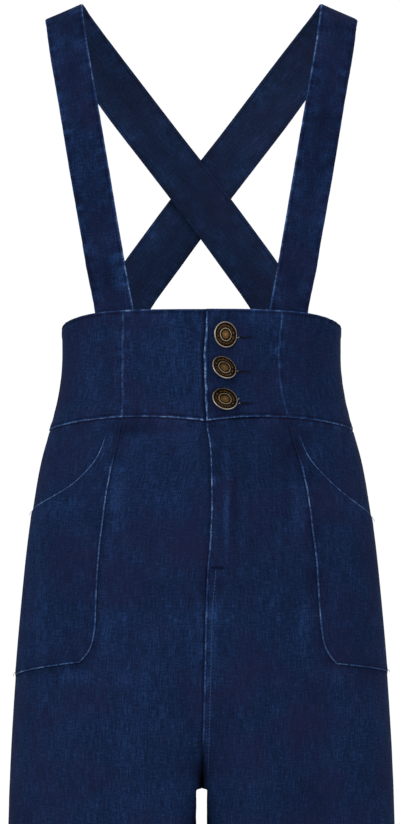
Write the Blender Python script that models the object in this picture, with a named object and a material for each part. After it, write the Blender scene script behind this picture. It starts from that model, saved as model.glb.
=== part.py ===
"""High-waisted wide-leg jeans with a buttoned waist panel and braces crossed at the back.

The garment keeps the hollow form it has when worn, standing open at the waist, at both hems and
between the braces. Lengths are in metres. X runs to the wearer's left, Y to the back and Z up. The
origin is midway between the undersides of the two braces where they pass over the shoulders.

Every piece of cloth is one closed thin wall. Level sections of the garment give its outer face, a
piece covers a share of the way round each section, and its wall is laid inwards from there.
"""

import math

import bmesh
import bpy
from mathutils import Matrix, Vector

# Cloth and seams
SEAM_GAP = 0.0003
HALF_GAP = SEAM_GAP / 2
WAIST_WALL = 0.0024
LEG_WALL = 0.0016
POCKET_WALL = 0.0014
STRAP_WALL = 0.0024
HEM_WALL = 0.0030
HEM_DEPTH = 0.028

# Heights
RIM = -0.2932
RIM_SIDE_DROP = 0.0085
RIM_ROUND = 6
WAIST_SEAM = -0.398
SEAM_LIFT = 0.005
SEAM_SIDE_DROP = 0.003
SEAM_EASE = 0.06
FLY_BOTTOM = -0.533
FORK = -0.7365
HEM = -1.450

# The garment's level sections, from the middle of the front or back round to the side seam.
# flatness is the exponent of the curve: 2 is an ellipse, more is flatter in front and at the side.
# Columns: height, half width, depth of the front, depth of the back, flatness.
SECTIONS = (
    (-0.285, 0.1325, 0.0875, 0.0915, 2.50),
    (-0.340, 0.1323, 0.0885, 0.0920, 2.50),
    (-0.370, 0.1362, 0.0915, 0.0930, 2.50),
    (-0.398, 0.1430, 0.0960, 0.0965, 2.50),
    (-0.430, 0.1518, 0.1015, 0.1030, 2.50),
    (-0.470, 0.1588, 0.1070, 0.1120, 2.50),
    (-0.510, 0.1642, 0.1105, 0.1190, 2.48),
    (-0.560, 0.1692, 0.1130, 0.1240, 2.45),
    (-0.620, 0.1743, 0.1135, 0.1240, 2.40),
    (-0.680, 0.1782, 0.1120, 0.1205, 2.35),
    (-0.735, 0.1807, 0.1100, 0.1165, 2.30),
    (-0.800, 0.1822, 0.1080, 0.1125, 2.28),
    (-1.000, 0.1855, 0.1050, 0.1075, 2.22),
    (-1.200, 0.1885, 0.1030, 0.1040, 2.20),
    (-1.450, 0.1920, 0.1010, 0.1015, 2.20),
)

# Where the front and the back begin to part into legs, and how the legs' inner faces stand.
LEG_GAP = 0.0112
FORK_SQUARENESS = 4.0
FRONT_CROTCH_BEND = 3.2
BACK_CROTCH_BEND = 2.4
FRONT_CROTCH_TOP = -0.600
BACK_CROTCH_TOP = -0.560
CREST_TOP = -0.470
CREST_FULL = -0.680
CREST_X = 0.032
CREST_X_HEM = 0.060
INNER_FLATNESS = 3.2
INNER_FLATNESS_EASE = 0.8
CREST_SPREAD_TOP = -0.780
INNER_STEPS = 24
OUTER_STEPS = 56
TANGENT_REACH = 0.0015
FLAT_INSET = 1e-6
SHARP_ANGLE = 40.0

# The centre-front line wanders a little from the garment's middle. Columns: height, x.
CENTRE_LINE = (
    (-0.290, 0.0041),
    (-0.398, 0.0043),
    (-0.420, 0.0075),
    (-0.450, 0.0089),
    (-0.486, 0.0089),
    (-0.517, 0.0072),
    (-0.533, 0.0050),
    (-0.575, 0.0020),
    (-0.640, 0.0004),
    (-0.690, -0.0012),
    (-0.735, -0.0006),
    (-0.780, 0.0),
    (-1.450, 0.0),
)
CENTRE_FADE = 0.09

# The shaping seams of the waist panel, by their distance from the middle.
# Columns: height, distance of the right seam, distance of the left seam.
SHAPING_SEAMS = (
    (-0.290, 0.0730, 0.0750),
    (-0.333, 0.0735, 0.0718),
    (-0.370, 0.0737, 0.0740),
    (-0.400, 0.0740, 0.0815),
)

# The left front lies over the right one at the waist buttons and along the fly.
BUTTON_STAND = 0.036
WAIST_LAP_FLAT = 0.038
WAIST_LAP_EASE = 0.028
FLY_UNDERLAP = 0.008
FLY_LAP_FLAT = 0.012
FLY_LAP_EASE = 0.025
FLY_END_EASE = 0.025
FLY_UNDERLAP_END = -0.522

# Soft flutes of the hanging legs. Columns: side, face, share of the way from inseam to side seam,
# half span as a share, how far the cloth stands out (ridge) or in (trough) at the hem.
FLUTES = (
    (1, -1, 0.22, 0.17, 0.0050),
    (1, -1, 0.52, 0.15, -0.0060),
    (1, -1, 0.80, 0.16, 0.0040),
    (-1, -1, 0.25, 0.18, 0.0045),
    (-1, -1, 0.57, 0.16, -0.0055),
    (-1, -1, 0.83, 0.14, 0.0045),
    (1, 1, 0.20, 0.16, 0.0055),
    (1, 1, 0.50, 0.17, -0.0065),
    (1, 1, 0.79, 0.17, 0.0040),
    (-1, 1, 0.18, 0.15, 0.0050),
    (-1, 1, 0.46, 0.16, -0.0060),
    (-1, 1, 0.76, 0.18, 0.0050),
)
FLUTE_TOP = -0.700
FLUTE_FULL = -1.250

# Grids
WAIST_ROWS = 5
WAIST_FRONT_COLUMNS = 8
WAIST_SIDE_COLUMNS = 6
WAIST_BACK_COLUMNS = 30
FRONT_COLUMNS = 22
BACK_COLUMNS = 18
HIP_ROWS = 6
CROTCH_SHARES = (0.25, 0.45, 0.62, 0.76, 0.87, 0.945, 0.985, 0.997, 1.0)
FORK_ROW_DROPS = (0.0012, 0.0056, 0.018, 0.045)
LEG_ROWS = 6

# Patch pockets: the inner seam and, beside it, the curved mouth that runs on down the side seam.
# Columns: x and height on the inner seam, then on the outer edge the share of the way round the
# front, from the middle, 0, to the side seam, 1, and the height there.
RIGHT_POCKET = (
    (0.0745, -0.3985, 0.440, -0.4020),
    (0.0775, -0.4180, 0.457, -0.4240),
    (0.0820, -0.4370, 0.497, -0.4400),
    (0.0850, -0.4530, 0.571, -0.4550),
    (0.0870, -0.4640, 0.662, -0.4648),
    (0.0880, -0.4710, 0.752, -0.4710),
    (0.0887, -0.4770, 0.838, -0.4755),
    (0.0894, -0.4830, 0.920, -0.4787),
    (0.0902, -0.4900, 1.0, -0.4815),
    (0.0940, -0.5240, 1.0, -0.5150),
    (0.0960, -0.5600, 1.0, -0.5530),
    (0.0972, -0.5910, 1.0, -0.5910),
    (0.1020, -0.6095, 1.0, -0.6150),
    (0.1110, -0.6205, 1.0, -0.6350),
)
LEFT_POCKET = (
    (0.0800, -0.3985, 0.449, -0.4030),
    (0.0865, -0.4220, 0.477, -0.4280),
    (0.0920, -0.4400, 0.535, -0.4450),
    (0.0955, -0.4560, 0.613, -0.4600),
    (0.0973, -0.4660, 0.695, -0.4703),
    (0.0984, -0.4740, 0.775, -0.4770),
    (0.0993, -0.4805, 0.852, -0.4815),
    (0.1001, -0.4870, 0.927, -0.4848),
    (0.1010, -0.4940, 1.0, -0.4875),
    (0.1050, -0.5275, 1.0, -0.5200),
    (0.1070, -0.5600, 1.0, -0.5550),
    (0.1090, -0.5880, 1.0, -0.5880),
    (0.1130, -0.6080, 1.0, -0.6120),
    (0.1230, -0.6220, 1.0, -0.6310),
)
POCKET_CELLS = 15
POCKET_LIFT = 0.00075
POCKET_SIDE_INSET = 0.004

# Braces, by stations from the front end over the shoulder to the back end. x is the distance from
# the middle on the brace's own side, so it is negative once the brace has crossed the back. The
# yaw, in degrees, turns the band's width towards the body's curve.
# Columns: x, y, height, half width, yaw.
STRAP_STATIONS = (
    (0.0800, -0.0735, -0.3160, 0.0203, -22.0),
    (0.0836, -0.0740, -0.2900, 0.0199, -22.0),
    (0.0934, -0.0800, -0.2300, 0.0190, -19.0),
    (0.1055, -0.0810, -0.1600, 0.0192, -17.0),
    (0.1165, -0.0720, -0.0950, 0.0190, -15.0),
    (0.1258, -0.0520, -0.0420, 0.0192, -14.0),
    (0.1303, -0.0290, -0.0110, 0.0193, -14.0),
    (0.1316, 0.0000, 0.0024, 0.0196, -14.0),
    (0.1232, 0.0280, -0.0080, 0.0208, -12.0),
    (0.1040, 0.0500, -0.0340, 0.0222, -8.0),
    (0.0712, 0.0690, -0.0770, 0.0232, -2.0),
    (0.0360, 0.0800, -0.1220, 0.0232, 0.0),
    (0.0000, 0.0860, -0.1680, 0.0236, 0.0),
    (-0.0340, 0.0870, -0.2140, 0.0238, -2.0),
    (-0.0680, 0.0820, -0.2630, 0.0238, -18.0),
    (-0.0920, 0.0740, -0.3120, 0.0238, -24.0),
)
STRAP_TILT = 20.5
LEFT_STRAP_SWAY = -0.0017
STRAP_SWAY_EASE = 0.06
STRAP_ROWS = 40
STRAP_CELLS = 3
STRAP_LIFT = 0.0008
STRAP_FOLLOW = 0.045
DIRECTION_STEP = 0.25
CROSSING_HEIGHT = -0.168
CROSSING_FLAT = 0.050
CROSSING_EASE = 0.060
CROSSING_APART = 0.0021

# Buttons: the turned profile of the head. Columns: radius, rise above the top of the shank.
BUTTON_PROFILE = (
    (0.0104, 0.0013),
    (0.0113, 0.0022),
    (0.0108, 0.0031),
    (0.0094, 0.0031),
    (0.0084, 0.0025),
    (0.0064, 0.0026),
    (0.0054, 0.0032),
    (0.0030, 0.0036),
)
BUTTON_SIDES = 20
BUTTON_SHANK = 0.0022
BUTTON_SEAT = 0.0006
BUTTON_REACH = 0.008
# The head swings on its shank until its rim meets the cloth. Columns: distance from the lapped edge,
# height, the turn of the swing from straight down and the swing itself, both in degrees.
BUTTON_PLACES = (
    (0.0172, -0.3180, 90.0, 28.0),
    (0.0163, -0.3501, 135.0, 33.0),
    (0.0172, -0.3797, 146.0, 26.0),
)

# Finishes: base colour (linear), roughness and metallic value
DENIM = ("indigo_denim", (0.010, 0.022, 0.062), 0.85, 0.0)
DARK_DENIM = ("dark_indigo_denim", (0.007, 0.016, 0.047), 0.85, 0.0)
BRASS = ("antique_brass", (0.205, 0.140, 0.062), 0.42, 1.0)


def clamp(value):
    """Return the value held between 0 and 1."""
    return max(0.0, min(1.0, value))


def smooth(value):
    """Return an S-curve from 0 to 1, level at both ends."""
    value = clamp(value)
    return value * value * (3.0 - 2.0 * value)


def slope_at(rows, index, column):
    """Return a table column's slope against the first column at one row."""
    low = rows[max(index - 1, 0)]
    high = rows[min(index + 1, len(rows) - 1)]
    return (high[column] - low[column]) / (high[0] - low[0])


def read_table(rows, height):
    """Return a table's other columns at a height, on a smooth curve through its rows."""
    if height >= rows[0][0]:
        return rows[0][1:]
    if height <= rows[-1][0]:
        return rows[-1][1:]
    index = 0
    while rows[index + 1][0] > height:
        index += 1
    low = rows[index]
    high = rows[index + 1]
    span = high[0] - low[0]
    t = (height - low[0]) / span
    values = []
    for column in range(1, len(low)):
        start = slope_at(rows, index, column) * span
        end = slope_at(rows, index + 1, column) * span
        step = high[column] - low[column]
        bend = start + end - 2.0 * step
        values.append(low[column] + t * (start + t * (step - start - bend + t * bend)))
    return tuple(values)


def crest_x(height):
    """Return how far from the middle each leg's front and back stand furthest out."""
    spread = CREST_X * smooth((CREST_TOP - height) / (CREST_TOP - CREST_FULL))
    lower = smooth((CREST_SPREAD_TOP - height) / (CREST_SPREAD_TOP - HEM))
    return spread + (CREST_X_HEM - CREST_X) * lower


def inner_x(height):
    """Return the distance from the middle to a leg's inner end at a height."""
    drop = FORK - height
    reach = LEG_GAP / 2
    if drop <= 0.0:
        return HALF_GAP
    if drop >= reach:
        return reach
    left = (1.0 - drop / reach) ** FORK_SQUARENESS
    return max(HALF_GAP, reach * (1.0 - left) ** (1.0 / FORK_SQUARENESS))


def groove(face, height, depth):
    """Return how far in the crotch seam lies from the crest of the leg at a height."""
    top = FRONT_CROTCH_TOP if face < 0 else BACK_CROTCH_TOP
    bend = FRONT_CROTCH_BEND if face < 0 else BACK_CROTCH_BEND
    share = clamp((top - height) / (top - FORK))
    left = (1.0 - share**bend) ** (1.0 / bend)
    return min(depth * (1.0 - left), depth - HALF_GAP)


SECTION_CACHE = {}


def half_section(face, height):
    """Return points (x, distance from the side line) round one half of a level section."""
    key = (face, round(height, 7))
    if key in SECTION_CACHE:
        return SECTION_CACHE[key]
    half_width, front, back, flatness = read_table(SECTIONS, height)
    depth = front if face < 0 else back
    start = inner_x(height)
    crest = max(crest_x(height), start)
    width = crest - start
    inset = groove(face, height, depth)
    points = []
    if width > SEAM_GAP:
        deep = inset > width
        past = (inset / width - 1.0) / INNER_FLATNESS_EASE
        bend = 2.0 / (2.0 + (INNER_FLATNESS - 2.0) * smooth(past))
        sweep = math.pi / 2 if deep else 2.0 * math.atan2(inset, width)
        radius = (width * width + inset * inset) / (2.0 * max(inset, FLAT_INSET))
        for step in range(INNER_STEPS):
            angle = sweep * (1.0 - step / INNER_STEPS)
            if deep:
                x = crest - width * math.sin(angle) ** bend
                y = depth - inset * (1.0 - max(math.cos(angle), 0.0) ** bend)
            elif inset < FLAT_INSET:
                x = start + width * step / INNER_STEPS
                y = depth
            else:
                x = crest - radius * math.sin(angle)
                y = depth - radius * (1.0 - math.cos(angle))
            points.append((x, y))
    power = 2.0 / flatness
    for step in range(OUTER_STEPS + 1):
        angle = math.pi / 2 * step / OUTER_STEPS
        x = crest + (half_width - crest) * math.sin(angle) ** power
        y = depth * max(math.cos(angle), 0.0) ** power
        points.append((x, y if step < OUTER_STEPS else 0.0))
    lengths = [0.0]
    for first, second in zip(points, points[1:]):
        lengths.append(lengths[-1] + math.dist(first, second))
    SECTION_CACHE[key] = (points, lengths)
    return SECTION_CACHE[key]


def at_length(section, length):
    """Return the section's point at a distance along it."""
    points, lengths = section
    length = max(0.0, min(length, lengths[-1]))
    low = 0
    high = len(lengths) - 1
    while high - low > 1:
        middle = (low + high) // 2
        if lengths[middle] <= length:
            low = middle
        else:
            high = middle
    t = (length - lengths[low]) / (lengths[high] - lengths[low])
    first = points[low]
    second = points[high]
    return (first[0] + (second[0] - first[0]) * t, first[1] + (second[1] - first[1]) * t)


def share_at(face, height, x):
    """Return the share of the way round at which a section is x from the middle."""
    points, lengths = half_section(face, height)
    if x <= points[0][0]:
        return 0.0
    for index in range(len(points) - 1):
        first = points[index][0]
        second = points[index + 1][0]
        if first <= x < second:
            t = (x - first) / (second - first)
            along = lengths[index] + (lengths[index + 1] - lengths[index]) * t
            return along / lengths[-1]
    return 1.0


WAIST_HALF_ROUND = half_section(-1, (RIM + WAIST_SEAM) / 2)[1][-1]
GAP_SHARE = HALF_GAP / WAIST_HALF_ROUND


def flute(side, face, share, height):
    """Return how far a leg's cloth stands out of its plain section."""
    grown = smooth((FLUTE_TOP - height) / (FLUTE_TOP - FLUTE_FULL))
    if grown == 0.0:
        return 0.0
    total = 0.0
    for own_side, own_face, centre, half_span, depth in FLUTES:
        if own_side == side and own_face == face:
            near = 1.0 - clamp(abs(share - centre) / half_span)
            total += depth * smooth(near)
    return total * grown


def cloth_point(side, face, share, height, out=0.0):
    """Return a point of the garment's outer face, moved out by a distance.

    side is 1 for the wearer's left and -1 for the right, face is -1 for the front and 1 for the
    back. share runs from the middle or inseam, 0, to the side seam, 1. A share below 0 lies past
    the middle, on the other half.
    """
    section = half_section(face, height)
    total = section[1][-1]
    length = abs(share) * total
    x, y = at_length(section, length)
    ahead = at_length(section, length + TANGENT_REACH)
    behind = at_length(section, length - TANGENT_REACH)
    step = math.dist(behind, ahead)
    normal_x = -(ahead[1] - behind[1]) / step
    normal_y = (ahead[0] - behind[0]) / step
    out += flute(side, face, share, height)
    x += normal_x * out
    y += normal_y * out
    across = side * math.copysign(1.0, share) * x
    if face < 0:
        line = read_table(CENTRE_LINE, height)[0]
        across += line * (1.0 - smooth(abs(x) / CENTRE_FADE))
    return Vector((across, face * y, height))


def seam_height(share_out):
    """Return the waist seam's height, by the share of the half width from the middle."""
    lift = SEAM_LIFT * (1.0 - (2.0 * share_out - 1.0) ** 2)
    return WAIST_SEAM + lift - SEAM_SIDE_DROP * share_out**2


def rim_height(share_out):
    """Return the waist panel's top edge, by the share of the half width from the middle."""
    return RIM - RIM_SIDE_DROP * share_out**RIM_ROUND


def share_out_at(face, share):
    """Return how far out a share lies at the waist seam, as a share of the half width."""
    section = half_section(face, WAIST_SEAM)
    points, lengths = section
    return at_length(section, abs(share) * lengths[-1])[0] / points[-1][0]


def new_material(finish):
    """Return the material of a finish, made once."""
    name, colour, roughness, metallic = finish
    material = bpy.data.materials.get(name)
    if material is None:
        material = bpy.data.materials.new(name)
        material.use_nodes = True
        shader = material.node_tree.nodes["Principled BSDF"]
        shader.inputs["Base Color"].default_value = (*colour, 1.0)
        shader.inputs["Roughness"].default_value = roughness
        shader.inputs["Metallic"].default_value = metallic
        material.diffuse_color = (*colour, 1.0)
    return material


def add_object(name, mesh, finish):
    """Link a mesh as a named object with one finish of its own."""
    mesh.materials.append(new_material((f"{name}_{finish[0]}", *finish[1:])))
    mesh.shade_smooth()
    mesh.set_sharp_from_angle(angle=math.radians(SHARP_ANGLE))
    thing = bpy.data.objects.new(name, mesh)
    bpy.context.scene.collection.objects.link(thing)
    return thing


def add_wall(name, outer, inner, finish):
    """Build one closed wall between two grids of points of the same size."""
    rows = len(outer)
    columns = len(outer[0])
    work = bmesh.new()
    front = [[work.verts.new(point) for point in row] for row in outer]
    back = [[work.verts.new(point) for point in row] for row in inner]
    for row in range(rows - 1):
        for column in range(columns - 1):
            for grid in (front, back):
                work.faces.new(
                    (
                        grid[row][column],
                        grid[row][column + 1],
                        grid[row + 1][column + 1],
                        grid[row + 1][column],
                    )
                )
    border = [(0, column) for column in range(columns)]
    border += [(row, columns - 1) for row in range(1, rows)]
    border += [(rows - 1, column) for column in range(columns - 2, -1, -1)]
    border += [(row, 0) for row in range(rows - 2, 0, -1)]
    for place, following in zip(border, border[1:] + border[:1]):
        work.faces.new(
            (
                front[place[0]][place[1]],
                front[following[0]][following[1]],
                back[following[0]][following[1]],
                back[place[0]][place[1]],
            )
        )
    bmesh.ops.recalc_face_normals(work, faces=work.faces)
    mesh = bpy.data.meshes.new(name)
    work.to_mesh(mesh)
    work.free()
    return add_object(name, mesh, finish)


def waist_lap(x):
    """Return how far the left waist panel stands out over the right one's button stand."""
    return (WAIST_WALL + SEAM_GAP) * (1.0 - smooth((x - WAIST_LAP_FLAT) / WAIST_LAP_EASE))


def fly_lap(x, height):
    """Return how far the left front stands out over the right one along the fly."""
    near = 1.0 - smooth((x - FLY_LAP_FLAT) / FLY_LAP_EASE)
    above = 1.0 - smooth((FLY_BOTTOM - height) / FLY_END_EASE)
    return (LEG_WALL + SEAM_GAP) * near * above


def waist_point(side, face, share, climb, out):
    """Return a point of the waist panel, climb running from its seam, 0, to its rim, 1."""
    share_out = share_out_at(face, share)
    low = seam_height(share_out) + HALF_GAP
    height = low + (rim_height(share_out) - low) * climb
    return cloth_point(side, face, share, height, out)


def shaping_share(side, height):
    """Return the shaping seam's share of the way round the front at a height."""
    right, left = read_table(SHAPING_SEAMS, height)
    return share_at(-1, height, left if side > 0 else right)


def add_waist_piece(name, side, face, columns, edges, lap, finish):
    """Build one piece of the waist panel between the two shares that edges gives at a height."""
    outer = []
    inner = []
    for row in range(WAIST_ROWS + 1):
        climb = row / WAIST_ROWS
        start, end = edges(WAIST_SEAM + (RIM - WAIST_SEAM) * climb)
        shares = [start + (end - start) * step / columns for step in range(columns + 1)]
        lifts = [waist_lap(share * WAIST_HALF_ROUND) if lap else 0.0 for share in shares]
        outer.append([waist_point(side, face, s, climb, out) for s, out in zip(shares, lifts)])
        inner.append(
            [waist_point(side, face, s, climb, out - WAIST_WALL) for s, out in zip(shares, lifts)]
        )
    return add_wall(name, outer, inner, finish)


def add_waist():
    """Build the five pieces of the waist panel."""

    def right_front(height):
        return (-BUTTON_STAND / WAIST_HALF_ROUND, shaping_share(-1, height) - GAP_SHARE)

    def left_front(height):
        return (GAP_SHARE, shaping_share(1, height) - GAP_SHARE)

    def right_side(height):
        return (shaping_share(-1, height) + GAP_SHARE, 1.0 - GAP_SHARE)

    def left_side(height):
        return (shaping_share(1, height) + GAP_SHARE, 1.0 - GAP_SHARE)

    def whole_back(height):
        return (GAP_SHARE - 1.0, 1.0 - GAP_SHARE)

    columns = WAIST_FRONT_COLUMNS
    add_waist_piece("waist_front_right", -1, -1, columns + 2, right_front, False, DENIM)
    add_waist_piece("waist_front_left", 1, -1, columns, left_front, True, DENIM)
    add_waist_piece("waist_side_right", -1, -1, WAIST_SIDE_COLUMNS, right_side, False, DENIM)
    add_waist_piece("waist_side_left", 1, -1, WAIST_SIDE_COLUMNS, left_side, False, DENIM)
    add_waist_piece("waist_back", 1, 1, WAIST_BACK_COLUMNS, whole_back, False, DENIM)


def leg_heights(crotch_top):
    """Return the heights of a leg panel's rows, close together at the fork."""
    heights = [
        WAIST_SEAM + (crotch_top - WAIST_SEAM) * step / HIP_ROWS for step in range(HIP_ROWS + 1)
    ]
    heights += [crotch_top + (FORK - crotch_top) * share for share in CROTCH_SHARES]
    heights += [FORK - drop for drop in FORK_ROW_DROPS]
    top = heights[-1]
    hem_top = HEM + HEM_DEPTH
    heights += [top + (hem_top - top) * step / LEG_ROWS for step in range(1, LEG_ROWS)]
    heights += [hem_top + HEM_WALL - LEG_WALL, hem_top, HEM]
    return heights


def front_heights():
    """Return the rows of a front panel, with rows where the fly's underlap begins and ends."""
    heights = [height for height in leg_heights(FRONT_CROTCH_TOP) if height < FLY_BOTTOM - HALF_GAP]
    top = WAIST_SEAM
    upper = [top + (FLY_UNDERLAP_END - top) * step / HIP_ROWS for step in range(HIP_ROWS + 1)]
    return upper + [FLY_BOTTOM] + heights


def leg_wall(height):
    """Return a leg's wall thickness, doubled where the hem is turned up."""
    return HEM_WALL if height <= HEM + HEM_DEPTH else LEG_WALL


def add_leg_panel(name, side, face, columns, finish):
    """Build a leg's front or back, from the waist seam to the hem."""
    outer = []
    inner = []
    heights = front_heights() if face < 0 else leg_heights(BACK_CROTCH_TOP)
    for height in heights:
        total = half_section(face, height)[1][-1]
        start = 0.0 if height > FORK else HALF_GAP / total
        if face < 0 and side < 0 and height >= FLY_UNDERLAP_END:
            start = -FLY_UNDERLAP / total
        end = 1.0 - HALF_GAP / total
        ease = 1.0 - smooth((WAIST_SEAM - height) / SEAM_EASE)
        row_outer = []
        row_inner = []
        for step in range(columns + 1):
            share = start + (end - start) * step / columns
            edge = seam_height(share_out_at(face, share)) - HALF_GAP
            level = height + (edge - WAIST_SEAM) * ease
            lap = fly_lap(share * total, height) if face < 0 and side > 0 else 0.0
            row_outer.append(cloth_point(side, face, share, level, lap))
            row_inner.append(cloth_point(side, face, share, level, lap - leg_wall(height)))
        outer.append(row_outer)
        inner.append(row_inner)
    return add_wall(name, outer, inner, finish)


def add_legs():
    """Build the fronts and backs of both legs."""
    for side, word in ((-1, "right"), (1, "left")):
        add_leg_panel(f"front_{word}", side, -1, FRONT_COLUMNS, DENIM)
        add_leg_panel(f"back_{word}", side, 1, BACK_COLUMNS, DENIM)


def add_pocket(name, side, table, finish):
    """Build a patch pocket from points of the front beneath it, moved out."""
    outer = []
    inner = []
    for seam_x, inner_height, outer_round, outer_height in table:
        start = share_at(-1, inner_height, seam_x)
        end = min(outer_round, 1.0 - POCKET_SIDE_INSET)
        row_outer = []
        row_inner = []
        for step in range(POCKET_CELLS + 1):
            t = step / POCKET_CELLS
            share = start + (end - start) * t
            height = inner_height + (outer_height - inner_height) * t
            row_outer.append(cloth_point(side, -1, share, height, POCKET_LIFT + POCKET_WALL))
            row_inner.append(cloth_point(side, -1, share, height, POCKET_LIFT))
        outer.append(row_outer)
        inner.append(row_inner)
    return add_wall(name, outer, inner, finish)


def strap_station(t):
    """Return the strap table's values at a share of the way along it, on a smooth curve."""
    last = len(STRAP_STATIONS) - 1
    rows = [(-index, *station) for index, station in enumerate(STRAP_STATIONS)]
    return read_table(rows, -t * last)


def follow_waist(point, inset):
    """Return the point laid against the inner face of the waist panel, level with it."""
    face = -1 if point.y < 0.0 else 1
    share_height = min(point.z, RIM)
    share = share_at(face, share_height, abs(point.x))
    laid = cloth_point(1, face, share, share_height, -inset)
    line = cloth_point(1, face, 0.0, share_height).x * (1.0 - smooth(abs(point.x) / CENTRE_FADE))
    return Vector((math.copysign(laid.x - line, point.x), laid.y, point.z))


def strap_point(side, t, across, inset):
    """Return a point of a brace, across running from its outer edge, -1, to its inner one, 1."""
    x, y, height, half_width, yaw = strap_station(t)
    step = DIRECTION_STEP / STRAP_ROWS
    ahead = Vector(strap_station(min(t + step, 1.0))[:3])
    behind = Vector(strap_station(max(t - step, 0.0))[:3])
    along = (ahead - behind).normalized()
    turn = math.radians(yaw)
    tilt = math.radians(STRAP_TILT)
    width = Vector((-math.cos(tilt) * math.cos(turn), math.sin(turn), math.sin(tilt)))
    width = (width - along * width.dot(along)).normalized()
    out = along.cross(width).normalized()
    from_cross = abs(height - CROSSING_HEIGHT) - CROSSING_FLAT
    near_cross = 1.0 - smooth(from_cross / CROSSING_EASE) if y > 0.0 else 0.0
    point = Vector((x, y, height)) + width * (across * half_width)
    point.y += side * CROSSING_APART * near_cross
    if side > 0 and y > 0.0:
        point.x += LEFT_STRAP_SWAY * smooth(y / STRAP_SWAY_EASE)
    laid = smooth((RIM + STRAP_FOLLOW - point.z) / STRAP_FOLLOW)
    if laid > 0.0:
        target = follow_waist(point, WAIST_WALL + STRAP_LIFT)
        point += (target - point) * laid
    point -= out * inset
    point.x *= side
    return point


def add_strap(name, side, finish):
    """Build one brace from inside the front rim over the shoulder to inside the back rim."""
    outer = []
    inner = []
    for row in range(STRAP_ROWS + 1):
        t = row / STRAP_ROWS
        crossings = [2.0 * step / STRAP_CELLS - 1.0 for step in range(STRAP_CELLS + 1)]
        outer.append([strap_point(side, t, across, 0.0) for across in crossings])
        inner.append([strap_point(side, t, across, STRAP_WALL) for across in crossings])
    return add_wall(name, outer, inner, finish)


def add_button(name, x, height, turn, tilt, finish):
    """Turn one domed button and rest its rim and its shank on the left waist panel."""
    share = share_at(-1, height, x)
    seat = cloth_point(1, -1, share, height, waist_lap(x) + BUTTON_SEAT)
    around = cloth_point(1, -1, share + BUTTON_REACH / WAIST_HALF_ROUND, height) - cloth_point(
        1, -1, share - BUTTON_REACH / WAIST_HALF_ROUND, height
    )
    upward = cloth_point(1, -1, share, height + BUTTON_REACH) - cloth_point(
        1, -1, share, height - BUTTON_REACH
    )
    outward = around.cross(upward).normalized()
    swing = math.radians(tilt)
    lifts = [radius * math.sin(swing) - rise * math.cos(swing) for radius, rise in BUTTON_PROFILE]
    lift = max(lifts)
    shank = (lift - BUTTON_SHANK * math.sin(swing)) / math.cos(swing)
    under_head = BUTTON_PROFILE[0][1]
    work = bmesh.new()
    rings = []
    for radius, rise in ((BUTTON_SHANK, -shank), (BUTTON_SHANK, under_head), *BUTTON_PROFILE):
        ring = []
        for step in range(BUTTON_SIDES):
            angle = 2.0 * math.pi * step / BUTTON_SIDES
            ring.append(work.verts.new((radius * math.cos(angle), radius * math.sin(angle), rise)))
        rings.append(ring)
    for lower, upper in zip(rings, rings[1:]):
        for step in range(BUTTON_SIDES):
            following = (step + 1) % BUTTON_SIDES
            work.faces.new((lower[step], lower[following], upper[following], upper[step]))
    work.faces.new(list(reversed(rings[0])))
    work.faces.new(rings[-1])
    bmesh.ops.recalc_face_normals(work, faces=work.faces)
    mesh = bpy.data.meshes.new(name)
    work.to_mesh(mesh)
    work.free()
    button = add_object(name, mesh, finish)
    lean = Matrix.Rotation(math.radians(turn), 4, "Z") @ Matrix.Rotation(swing, 4, "X")
    facing = outward.to_track_quat("Z", "Y").to_matrix().to_4x4()
    button.matrix_world = Matrix.Translation(seat + outward * lift) @ facing @ lean
    return button


def main():
    """Clear the scene and build every piece of the garment."""
    for thing in list(bpy.data.objects):
        bpy.data.objects.remove(thing)
    add_waist()
    add_legs()
    add_pocket("pocket_right", -1, RIGHT_POCKET, DENIM)
    add_pocket("pocket_left", 1, LEFT_POCKET, DENIM)
    add_strap("strap_right", -1, DARK_DENIM)
    add_strap("strap_left", 1, DARK_DENIM)
    for index, (x, height, turn, tilt) in enumerate(BUTTON_PLACES, start=1):
        add_button(f"button_{index}", x, height, turn, tilt, BRASS)


main()
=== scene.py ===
"""The looks of high-waisted wide-leg jeans with crossed braces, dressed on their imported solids.

Lengths are in metres, in the frame of the solids: X to the wearer's left, Y to the back, Z up.
"""

import logging
import math
from collections.abc import Callable, Sequence
from dataclasses import dataclass, field, replace
from enum import Enum

import bpy
import numpy as np
from mathutils import Matrix, Vector
from mathutils.kdtree import KDTree


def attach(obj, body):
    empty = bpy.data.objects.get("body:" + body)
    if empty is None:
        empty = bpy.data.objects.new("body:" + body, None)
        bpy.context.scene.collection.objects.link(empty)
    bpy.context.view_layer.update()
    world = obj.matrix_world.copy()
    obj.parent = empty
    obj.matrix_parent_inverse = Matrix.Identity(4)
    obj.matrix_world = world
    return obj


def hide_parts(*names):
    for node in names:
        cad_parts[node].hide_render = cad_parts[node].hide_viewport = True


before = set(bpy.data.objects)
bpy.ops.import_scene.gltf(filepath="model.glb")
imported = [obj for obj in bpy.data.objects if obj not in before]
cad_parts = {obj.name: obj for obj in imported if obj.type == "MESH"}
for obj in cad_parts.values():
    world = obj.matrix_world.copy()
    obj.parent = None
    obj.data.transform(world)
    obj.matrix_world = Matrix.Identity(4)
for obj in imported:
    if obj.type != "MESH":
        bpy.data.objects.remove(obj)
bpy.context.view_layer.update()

LOG = logging.getLogger("jeans")
MM = 0.001
TINY = 1e-6
ROOT = "root"
Table = Sequence[Sequence[float]]


class Side(Enum):
    """A side of the wearer, valued by the sign of its X."""

    RIGHT = -1
    LEFT = 1


class Face(Enum):
    """The front or the back of the garment, valued by the sign of its Y."""

    FRONT = -1
    BACK = 1


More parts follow.
